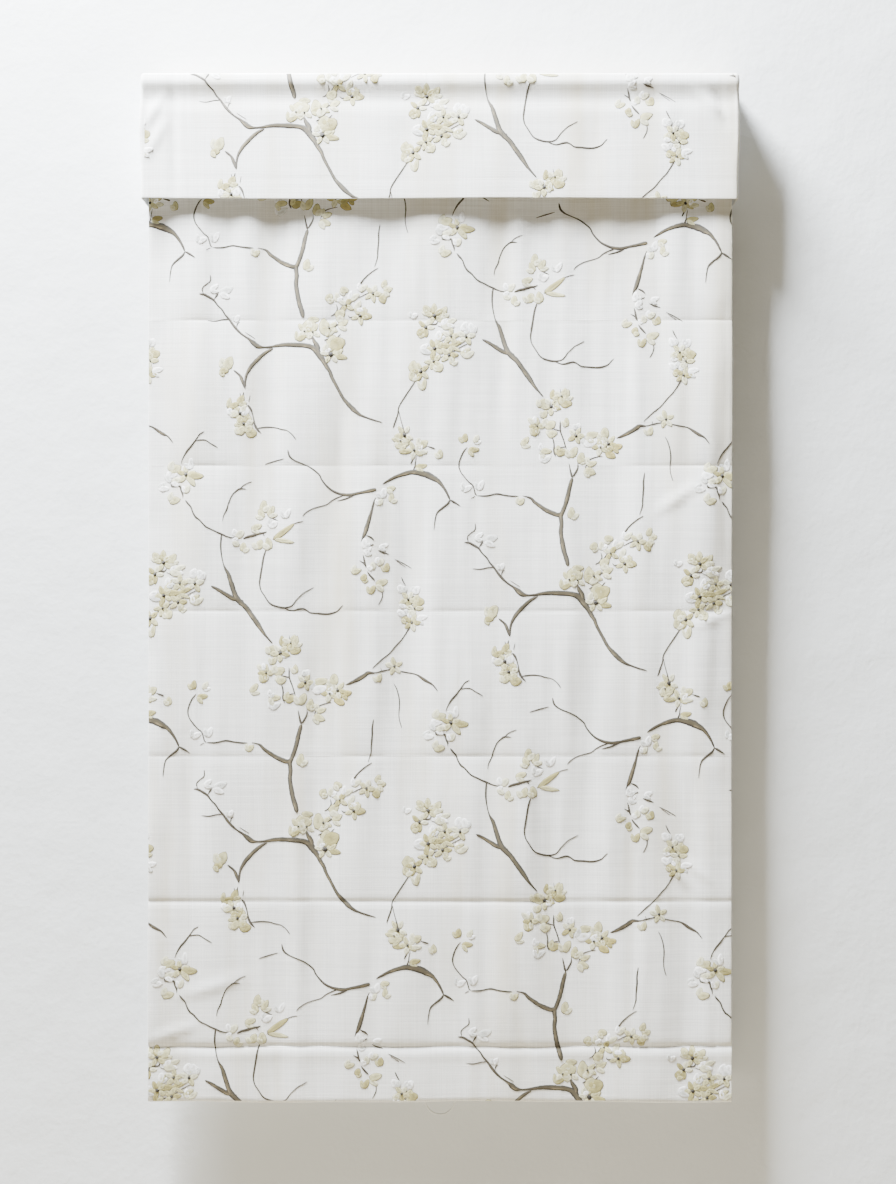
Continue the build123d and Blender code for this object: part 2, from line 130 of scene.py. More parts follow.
class Finish:
    def __init__(self, name, colour, roughness, metallic=0.0, sheen=0.0):
        self.material = bpy.data.materials.new(name)
        self.material.use_nodes = True
        self.nodes = self.material.node_tree.nodes
        self.links = self.material.node_tree.links
        self.shader = self.nodes["Principled BSDF"]
        self.colour = colour
        self.set(self.shader, "Base Color", colour)
        self.set(self.shader, "Roughness", roughness)
        self.set(self.shader, "Metallic", metallic)
        self.set(self.shader, "Sheen Weight", sheen)
        self.set(self.shader, "Sheen Roughness", 0.5)
        self.last = None

    def set(self, node, socket, value):
        node.inputs[socket].default_value = value

    def join(self, a, output, b, socket):
        self.links.new(a.outputs[output], b.inputs[socket])

    def place(self, scale, source="Object"):
        coords = self.nodes.new("ShaderNodeTexCoord")
        mapping = self.nodes.new("ShaderNodeMapping")
        self.set(mapping, "Scale", scale)
        self.join(coords, source, mapping, "Vector")
        return mapping

    def cloud(self, scale, stretch=(1, 1, 1), detail=2.0, source="Object"):
        node = self.nodes.new("ShaderNodeTexNoise")
        self.set(node, "Scale", scale)
        self.set(node, "Detail", detail)
        self.join(self.place(stretch, source), "Vector", node, "Vector")
        return node, "Fac"

    def wave(self, direction, period, distortion=0.0, source="Object", detailScale=1.0):
        node = self.nodes.new("ShaderNodeTexWave")
        node.bands_direction = direction
        self.set(node, "Scale", 2 * math.pi / (20 * period))
        self.set(node, "Distortion", distortion)
        self.set(node, "Detail", 1.0)
        self.set(node, "Detail Scale", detailScale)
        self.join(self.place((1, 1, 1), source), "Vector", node, "Vector")
        return node, "Fac"

    def cells(self, scale, stretch=(1, 1, 1)):
        node = self.nodes.new("ShaderNodeTexVoronoi")
        self.set(node, "Scale", scale)
        self.join(self.place(stretch), "Vector", node, "Vector")
        return node, "Distance"

    def level(self, value, low, high, outLow, outHigh):
        node = self.nodes.new("ShaderNodeMapRange")
        for socket, v in (("From Min", low), ("From Max", high), ("To Min", outLow), ("To Max", outHigh)):
            self.set(node, socket, v)
        self.join(value[0], value[1], node, "Value")
        return node, "Result"

    def sums(self, operation, a, b):
        node = self.nodes.new("ShaderNodeMath")
        node.operation = operation
        self.join(a[0], a[1], node, 0)
        if isinstance(b, tuple):
            self.join(b[0], b[1], node, 1)
        else:
            node.inputs[1].default_value = b
        return node, "Value"

    def attribute(self, name):
        node = self.nodes.new("ShaderNodeAttribute")
        node.attribute_name = name
        return node, "Color"

    def shade(self, value, start=None):
        # multiplies the colour by a value near one
        node = self.nodes.new("ShaderNodeMix")
        node.data_type = "RGBA"
        node.blend_type = "MULTIPLY"
        node.inputs[0].default_value = 1.0
        source = start or self.last
        if source:
            self.links.new(source[0].outputs[source[1]], node.inputs[6])
        else:
            node.inputs[6].default_value = self.colour
        self.links.new(value[0].outputs[value[1]], node.inputs[7])
        self.last = (node, 2)
        self.links.new(node.outputs[2], self.shader.inputs["Base Color"])

    def blend(self, factor, other):
        node = self.nodes.new("ShaderNodeMix")
        node.data_type = "RGBA"
        self.links.new(factor[0].outputs[factor[1]], node.inputs[0])
        if self.last:
            self.links.new(self.last[0].outputs[self.last[1]], node.inputs[6])
        else:
            node.inputs[6].default_value = self.colour
        node.inputs[7].default_value = other
        self.last = (node, 2)
        self.links.new(node.outputs[2], self.shader.inputs["Base Color"])

    def rough(self, value):
        self.links.new(value[0].outputs[value[1]], self.shader.inputs["Roughness"])

    def bump(self, height, distance, strength=1.0):
        node = self.nodes.new("ShaderNodeBump")
        self.set(node, "Distance", distance)
        self.set(node, "Strength", strength)
        self.links.new(height[0].outputs[height[1]], node.inputs["Height"])
        if self.shader.inputs["Normal"].links:
            self.links.new(self.shader.inputs["Normal"].links[0].from_socket, node.inputs["Normal"])
        self.links.new(node.outputs["Normal"], self.shader.inputs["Normal"])


def wovenFinish(name, colour, pitch, slub, sheen, paintedShadeTint=None):
    # plain weave with thicker threads here and there both ways
    f = Finish(name, colour, 0.92, sheen=sheen)
    across = f.cloud(1.0, (9, 9, 760), 3.0)
    down = f.cloud(1.0, (760, 9, 9), 3.0)
    patch = f.cloud(5.0, (1, 1, 1), 3.0)
    f.shade(f.level(across, 0.3, 0.7, 1 - slub, 1 + slub * 0.5))
    f.shade(f.level(down, 0.3, 0.7, 1 - slub * 0.8, 1 + slub * 0.4))
    f.shade(f.level(patch, 0.3, 0.7, 0.985, 1.01))
    # painted shade: a warm darkening that comes and goes slowly, standing in for the shade of the cloth's
    # ripples; it is placed by noise, on its own and not with the ripples
    if paintedShadeTint:
        f.blend(f.level(f.cloud(1.0, (13, 9, 1.6), 3.0), 0.48, 0.7, 0.0, 0.75), paintedShadeTint)
    warp = f.wave("X", pitch, 0.6)
    weft = f.wave("Z", pitch, 0.6)
    f.bump(f.sums("MULTIPLY", warp, weft), pitch * 0.35, 0.5)
    f.bump(f.sums("ADD", across, down), 0.0006, 0.35)
    return f


# the last colour given to the linen is a painted warm shade, blended in by slow noise
linen = wovenFinish("linenCloth", tone(243, 244, 243), 0.0008, 0.12, 0.2, tone(212, 205, 184))
lining = wovenFinish("liningWeave", tone(236, 232, 222), 0.0005, 0.03, 0.15)

thread = Finish("satinThread", tone(200, 190, 170), 0.62, sheen=0.3)
thread.shade(thread.level(thread.cloud(1.0, (1, 1, 1), 2.0), 0.3, 0.7, 0.97, 1.03),
    thread.attribute("thread"))
thread.shade(thread.level(thread.wave("Y", 0.0009, 0.4, "UV"), 0.0, 1.0, 0.9, 1.05))
thread.bump(thread.wave("Y", 0.0009, 0.4, "UV"), 0.0003, 0.5)

sewing = Finish("sewingThread", tone(222, 218, 208), 0.7, sheen=0.2)
sewing.shade(sewing.level(sewing.cloud(900.0), 0.3, 0.7, 0.93, 1.04))

braid = Finish("braidedCord", tone(238, 237, 232), 0.75, sheen=0.2)
braidA = braid.wave("DIAGONAL", 0.0011, 0.0, "UV")
braid.shade(braid.level(braidA, 0, 1, 0.86, 1.03))
braid.bump(braidA, 0.0003, 0.8)

ribbon = wovenFinish("ribbonTape", tone(233, 232, 227), 0.0009, 0.02, 0.2)
ribbon.shade(ribbon.level(ribbon.wave("Z", 0.0021, 0.2), 0, 1, 0.965, 1.02))

hookTape = Finish("hookTape", tone(231, 231, 227), 0.8, sheen=0.1)
hooks = hookTape.cells(900.0)
hookTape.shade(hookTape.level(hooks, 0, 0.6, 1.03, 0.86))
hookTape.bump(hooks, 0.0004, 0.7)

wood = Finish("pineBoard", tone(216, 190, 150), 0.62)
grain = wood.cloud(1.0, (3.2, 60, 60), 4.0)
wood.blend(wood.level(grain, 0.42, 0.68, 0, 0.8), tone(188, 152, 108))
wood.shade(wood.level(wood.cloud(1.0, (14, 900, 900), 2.0), 0.3, 0.7, 0.93, 1.04))
wood.bump(grain, 0.0003, 0.5)


def metalFinish(name, colour, roughness, stretch, amount=0.06):
    f = Finish(name, colour, roughness, 1.0)
    lines = f.cloud(1.0, stretch, 3.0)
    f.shade(f.level(lines, 0.3, 0.7, 1 - amount, 1 + amount * 0.5))
    f.rough(f.level(lines, 0.3, 0.7, roughness * 0.85, roughness * 1.2))
    f.bump(lines, 0.00005, 0.3)
    return f


def plasticFinish(name, colour, roughness):
    f = Finish(name, colour, roughness)
    f.shade(f.level(f.cloud(30.0), 0.3, 0.7, 0.975, 1.01))
    f.bump(f.cloud(2600.0), 0.00004, 0.25)
    return f


clear = plasticFinish("clearPlastic", tone(246, 248, 248), 0.2)
clear.set(clear.shader, "Transmission Weight", 0.1)
clear.set(clear.shader, "IOR", 1.49)
fibre = plasticFinish("ribRod", tone(226, 225, 214), 0.42)
fibre.shade(fibre.level(fibre.cloud(1.0, (6, 1400, 1400), 2.0), 0.3, 0.7, 0.9, 1.04))

finishes = {
    "board_wood": wood,
    "bracket_steel": metalFinish("zincSteel", tone(182, 184, 182), 0.4, (90, 90, 90), 0.1),
    "screw_steel": metalFinish("screwSteel", tone(190, 187, 178), 0.3, (500, 500, 60)),
    "channel_aluminium": metalFinish("brushedChannel", tone(202, 203, 204), 0.34, (4, 900, 900)),
    "bar_aluminium": metalFinish("brushedBar", tone(206, 206, 206), 0.38, (4, 900, 900)),
    "shaft_steel": metalFinish("shaftSteel", tone(168, 168, 170), 0.28, (6, 700, 700)),
    "spring_steel": metalFinish("springSteel", tone(120, 126, 138), 0.25, (700, 40, 40)),
    "white_plastic": plasticFinish("whitePlastic", tone(236, 236, 232), 0.42),
    "grey_plastic": plasticFinish("greyPlastic", tone(150, 152, 154), 0.45),
    "ring_plastic": plasticFinish("ringPlastic", tone(232, 232, 228), 0.32),
    "clear_plastic": clear,
    "rib_fibreglass": fibre,
    "tape_white": hookTape,
    "linen": linen,
    "lining_cloth": lining,
    "cord_white": braid,
}
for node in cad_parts.values():
    for s in node.material_slots:
        key = s.material.name.split(".")[0] if s.material else ""
        if key in finishes:
            s.material = finishes[key].material
print("materials made")


# ---- the hanging shape of the cloth --------------------------------------------

shade = {
    "half": 0.457, "front": -0.0522, "flapBack": -0.0495, "flapWide": 0.030,
    "anchor": 0.001, "top": 0.032, "hemLine": -1.4644, "bottom": -1.5524,
    "pocketBack": -0.0446, "keep": 0.11287, "thick": 0.0008, "mesh": 0.0062,
    "liningHalf": 0.4553, "liningBack": -0.0506, "liningEnd": -1.4641, "liningThick": 0.0005,
}
# how deep each rib's crease is, in millimetres, by its height
creaseDepth = {-0.1: 0.1, -0.3274: 0.1, -0.5548: 0.12, -0.7822: 0.3, -1.0096: 0.45, -1.237: 1.3}
ribLines = tuple(creaseDepth)
bayEnds = (0.001,) + ribLines + (shade["hemLine"], shade["bottom"])

# soft ridges on the face: start, end, height and half width in millimetres
faceRidges = (
    ((-0.052, -0.56), (-0.046, -0.93), -1.9, 15), ((-0.012, -0.50), (-0.006, -0.98), 1.5, 19),
    ((-0.157, -0.44), (-0.153, -0.64), -1.5, 14), ((-0.118, -0.42), (-0.112, -0.76), 1.0, 19),
    ((-0.396, -0.98), (-0.388, -1.17), -1.5, 13), ((-0.36, -0.9), (-0.352, -1.2), 1.0, 18),
    ((0.406, -0.582), (0.337, -0.629), 1.5, 7), ((0.396, -0.806), (0.456, -0.784), 1.2, 6),
    ((-0.452, -1.452), (-0.381, -1.430), 1.5, 6), ((-0.409, -1.385), (-0.307, -1.356), 1.2, 8),
    ((0.36, -1.18), (0.392, -1.215), 1.6, 7), ((0.384, -1.172), (0.42, -1.205), 1.2, 7),
    ((0.236, -0.36), (0.228, -0.86), 1.1, 26), ((0.32, -0.86), (0.314, -1.22), -0.9, 20),
    ((0.128, -0.9), (0.12, -1.4), 1.0, 24), ((-0.24, -1.02), (-0.236, -1.44), 0.9, 24),
    ((0.43, -0.3), (0.426, -0.72), 1.1, 12), ((-0.3, -0.22), (-0.296, -0.6), 0.8, 24),
)


def ridge(x, z, line):
    (ax, az), (bx, bz), height, wide = line
    dx, dz = bx - ax, bz - az
    t = clamp(((x - ax) * dx + (z - az) * dz) / (dx * dx + dz * dz))
    d = math.hypot(x - ax - t * dx, z - az - t * dz) / (wide * 0.001)
    if d > 2.6:
        return 0.0
    return height * 0.001 * math.exp(-d * d) * (0.25 + 0.75 * math.sin(math.pi * t))


def faceRelief(x, z):
    # how far the cloth stands out from its flat place, towards the front
    bow, depth = 0.0, 0.0
    for high, low in zip(bayEnds, bayEnds[1:]):
        if low <= z <= high:
            bow = math.sin(math.pi * (z - low) / (high - low)) ** 0.6
    for r in ribLines:
        depth += creaseDepth[r] * math.exp(-((z - r) / 0.0042) ** 2)
    depth += 2.8 * math.exp(-((z - shade["hemLine"]) / 0.0045) ** 2)
    depth -= 1.8 * math.exp(-((z - shade["hemLine"] + 0.012) / 0.009) ** 2)
    long = noise.noise((x * 9.5, 3.1, z * 1.2)) * 8.5 + noise.noise((x * 23, 7.7, z * 2.2)) * 5.2
    fine = noise.noise((x * 52, 1.7, z * 6)) * 1.3
    edge = smooth(0.40, 0.455, abs(x))
    pull = edge * (noise.noise((x * 14, 5.3, z * 26)) * 0.55 + 0.25 * math.sin(z * 61))
    side = 0.5 * math.exp(-((abs(x) - 0.429) / 0.003) ** 2)
    out = 4.2 + 1.2 * bow + (long + fine) * (0.45 + 0.55 * bow) + pull - depth - side
    out += 2000 * sum(ridge(x, z, line) for line in faceRidges)
    if z < shade["hemLine"]:
        out = out * 0.6 + 0.5 + 0.35 * math.sin(x * 23 + 1)
    out *= 1 - 0.75 * smooth(-0.05, 0.001, z)
    return 0.001 * max(out, -0.05)


def facePoint(x, z, height=0.0):
    return (x, shade["front"] - faceRelief(x, z) - height, z)


def spread(low, high, step):
    count = max(2, math.ceil(abs(high - low) / step))
    return [low + (high - low) * k / count for k in range(count + 1)]


def faceColumns(step):
    # round the side from the turned hem at the back, over the front and back again
    half, turn = shade["half"], (shade["flapBack"] - shade["front"]) / 2
    flat = half - turn
    side = [(-half + shade["flapWide"] - d, shade["flapBack"])
        for d in spread(0, shade["flapWide"] - turn, step)]
    arc = [(-flat - turn * math.sin(a), (shade["flapBack"] + shade["front"]) / 2 + turn * math.cos(a))
        for a in (0.7, 1.57, 2.4)]
    left = side + arc
    front = [(x, shade["front"]) for x in spread(-flat, flat, step)]
    right = [(-x, y) for x, y in reversed(left)]
    return left + front + right


def faceRows(high, low, step):
    rows = set(spread(high, low, step))
    for r in ribLines + (shade["hemLine"],):
        for d in (-0.006, -0.0035, -0.0015, 0, 0.0015, 0.0035, 0.006):
            if low <= r + d <= high:
                rows.add(r + d)
    rows = sorted(rows, reverse=True)
    kept = [rows[0]]
    for z in rows[1:]:
        if kept[-1] - z > 0.0011 or z == low:
            kept.append(z)
    return kept


def clothBetween(high, low, step):
    columns = faceColumns(step)
    bm = bmesh.new()
    rows, uvs = [], []
    for z in faceRows(high, low, step * 1.15):
        rows.append([(x, y - faceRelief(x, z), z) for x, y in columns])
        uvs.append([(k * step, z) for k in range(len(columns))])
    sheetGrid(bm, rows, uvs)
    middle = (high + low) / 2
    faceFront(bm, lambda c: abs(c.x) + abs(c.z - middle))
    return bm


mainCloth = meshPiece("mainCloth", clothBetween(shade["anchor"], shade["hemLine"], shade["mesh"]),
    [linen.material], "root")
thicken(mainCloth, shade["thick"])
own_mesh(mainCloth)
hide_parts("shade_face")

headBand = meshPiece("headBand", clothBetween(shade["top"], shade["anchor"], shade["mesh"]),
    [linen.material], "root")
thicken(headBand, shade["thick"])
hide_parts("shade_face")
print("face cloth made")


def hemCloth():
    # front layer, round the bottom fold, up the back and over the stitched top
    half, front, back = shade["half"], shade["front"], shade["pocketBack"]
    turn = (back - front) / 2
    fold = shade["bottom"] + turn
    profile = [(front, z, 1.0) for z in faceRows(shade["hemLine"], fold, 0.006)]
    profile += [((front + back) / 2 - turn * math.cos(a), fold - turn * math.sin(a), 1 - a / math.pi)
        for a in (0.45, 0.9, 1.35, 1.8, 2.25, 2.7)]
    profile += [(back, z, 0.0) for z in spread(fold, shade["hemLine"] - 0.0006, 0.008)]
    profile += [(back - 0.001, shade["hemLine"] - 0.0001, 0.0), (back - 0.0054, shade["hemLine"], 0.0)]
    columns = [x for x in spread(-half + 0.004, half - 0.004, 0.0062)]
    columns = [-half, -half + 0.0008, -half + 0.002] + columns + [half - 0.002, half - 0.0008, half]
    bm = bmesh.new()
    rows = []
    for y, z, share in profile:
        row = []
        for x in columns:
            pinch = smooth(half - 0.0065, half, abs(x))
            sag = 0.0010 * math.sin(x * 11 + 0.6) + 0.0006 * math.sin(x * 29)
            low = smooth(-1.50, -1.5524, z) * sag
            # towards the side seam the back layer comes to the front one
            yy = y - faceRelief(x, z) * share
            yy = yy + (front + 0.0012 - yy) * pinch * (1 - share)
            row.append((x, yy - (1 - share) * 0.0004 * noise.noise((x * 20, 2, z * 20)),
                z + max(low, -0.0012)))
        rows.append(row)
    sheetGrid(bm, rows)
    # a face of the front layer, part way down the pocket
    faceFront(bm, lambda c: abs(c.x) + abs(c.z + 1.49) + 10 * max(0, c.y + 0.049))
    return bm


hemPocket = meshPiece("hemPocket", hemCloth(), [linen.material], "bar")
thicken(hemPocket, shade["thick"])
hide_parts("shade_face")


def liningSheet(high, low):
    half, back = shade["liningHalf"], shade["liningBack"]
    bm = bmesh.new()
    rows = [[(x, back - faceRelief(x, z), z) for x in spread(-half, half, 0.009)]
        for z in faceRows(high, low, 0.011)]
    sheetGrid(bm, rows)
    outward(bm, (0, 1, 0))
    return bm


liningBody = meshPiece("liningBody", liningSheet(shade["anchor"], shade["liningEnd"]), [lining.material],
    "root")
thicken(liningBody, shade["liningThick"])
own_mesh(liningBody)
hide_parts("shade_lining")
liningHead = meshPiece("liningHead", liningSheet(shade["top"], shade["anchor"]), [lining.material], "root")
thicken(liningHead, shade["liningThick"])
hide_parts("shade_lining")
print("lining and hem made")


# ---- valance -------------------------------------------------------------------

valance = {
    "half": 0.465, "front": -0.0724, "wall": -0.0003, "corner": 0.005, "low": -0.1404,
    "high": 0.0556, "hem": 0.030, "lidBack": -0.0304, "roll": 0.0045, "thick": 0.0011,
}
valanceRidges = (
    ((-0.417, 0.045), (-0.411, -0.135), -1.5, 6), ((-0.433, 0.02), (-0.458, -0.03), 1.3, 6),
    ((-0.428, -0.02), (-0.455, -0.075), 1.2, 7), ((0.40, 0.028), (0.44, -0.012), 1.3, 7),
    ((0.43, 0.03), (0.448, -0.03), -0.9, 6), ((0.35, 0.02), (0.362, -0.06), 0.8, 12),
    ((-0.2, 0.01), (-0.188, -0.12), 0.8, 22), ((0.09, 0.01), (0.1, -0.13), 0.8, 26),
    ((-0.06, 0.0), (-0.05, -0.13), -0.7, 18), ((0.24, 0.0), (0.232, -0.13), -0.7, 20),
)


def valanceRelief(x, z):
    top = 3.2 * math.exp(-((z - 0.041) / 0.009) ** 2)
    dip = -2.6 * math.exp(-((z - 0.015) / 0.013) ** 2)
    flare = 0.9 * smooth(-0.03, -0.135, z)
    hem = -0.35 * math.exp(-((z + 0.1104) / 0.003) ** 2)
    long = noise.noise((x * 9 + 4, 2.2, z * 3)) * 1.1 + noise.noise((x * 26, 9.1, z * 7)) * 0.35
    out = 0.2 + top + dip + flare + hem + long * (0.35 + 0.65 * smooth(0.03, -0.02, z))
    out += 2500 * sum(ridge(x, z, line) for line in valanceRidges)
    return 0.001 * out


def valancePoint(x, z, height=0.0):
    inset = valance["roll"] * (1 - math.sqrt(max(0.0,
        1 - clamp((z - valance["high"] + valance["roll"]) / valance["roll"]) ** 2)))
    return (x, valance["front"] + inset - valanceRelief(x, z) - height, z)


def valanceCloth():
    half, front, corner = valance["half"], valance["front"], valance["corner"]
    # the way round: place, outward direction, and whether the lid starts from it
    rail = [(-half, y, (-1, 0), False) for y in spread(valance["wall"], front + corner, 0.006)]
    rail += [(-half + corner - corner * math.cos(a), front + corner - corner * math.sin(a),
        (-math.cos(a), -math.sin(a)), False) for a in (0.35, 0.79, 1.22)]
    rail += [(x, front, (0, -1), True) for x in spread(-half + corner, half - corner, 0.006)]
    rail += [(half - corner + corner * math.cos(a), front + corner - corner * math.sin(a),
        (math.cos(a), -math.sin(a)), False) for a in (1.22, 0.79, 0.35)]
    rail += [(half, y, (1, 0), False) for y in spread(front + corner, valance["wall"], 0.006)]
    low, high, roll = valance["low"], valance["high"], valance["roll"]
    steps = [(z, -0.0016, False) for z in spread(low + valance["hem"], low + 0.0012, 0.006)]
    steps += [(low + 0.0002, -0.0012, False), (low, -0.0006, False), (low + 0.0003, -0.0001, False)]
    steps += [(z, 0.0, False) for z in spread(low + 0.0015, high - roll, 0.0055)]
    steps += [(high - roll + roll * math.sin(a), -roll * (1 - math.cos(a)), False)
        for a in (0.35, 0.7, 1.05, 1.35, 1.5708)]
    steps += [(high, -roll - d, True) for d in spread(0.004, valance["lidBack"] - front - roll, 0.006)]
    bm = bmesh.new()
    rows = []
    for z, push, lid in steps:
        row = []
        for x, y, (nx, ny), isFront in rail:
            if lid and not isFront:
                row.append(None)
                continue
            zz = min(z, high - roll)
            out = valanceRelief(x, zz) * abs(ny)
            # the returns bulge a little below the board
            side = abs(nx) * 0.0045 * math.exp(-((z + 0.025) / 0.05) ** 2) * smooth(0.0, 0.03,
                abs(y)) * (1.0 if x < 0 else 0.55)
            side += abs(nx) * 0.0008 * noise.noise((y * 40, x, z * 18))
            fade = 1 - smooth(high - roll, high, z) if z > high - roll else 1.0
            fade = max(fade, 0.0) if not lid else 0.0
            wave = 0.0010 * math.sin(x * 9 + 0.4) * smooth(-0.10, -0.1404, z) * abs(ny)
            lift = 0.0004 * noise.noise((x * 12, 4, push * 60)) if lid else 0.0
            amount = push + (out + side) * fade
            row.append((x + nx * amount, y + ny * amount, z + wave + lift))
        rows.append(row)
    sheetGrid(bm, rows)
    # a face of the front, below the board
    faceFront(bm, lambda c: abs(c.x) + abs(c.z + 0.02) + 100 * max(0, c.y + 0.068))
    return bm


valanceFabric = meshPiece("valanceFabric", valanceCloth(), [linen.material], "root")
thicken(valanceFabric, 0.0008)
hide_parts("valance")
print("valance made")


# ---- embroidery ----------------------------------------------------------------
# one repeat of the pattern in millimetres; a branch is (x, z, width) along its middle

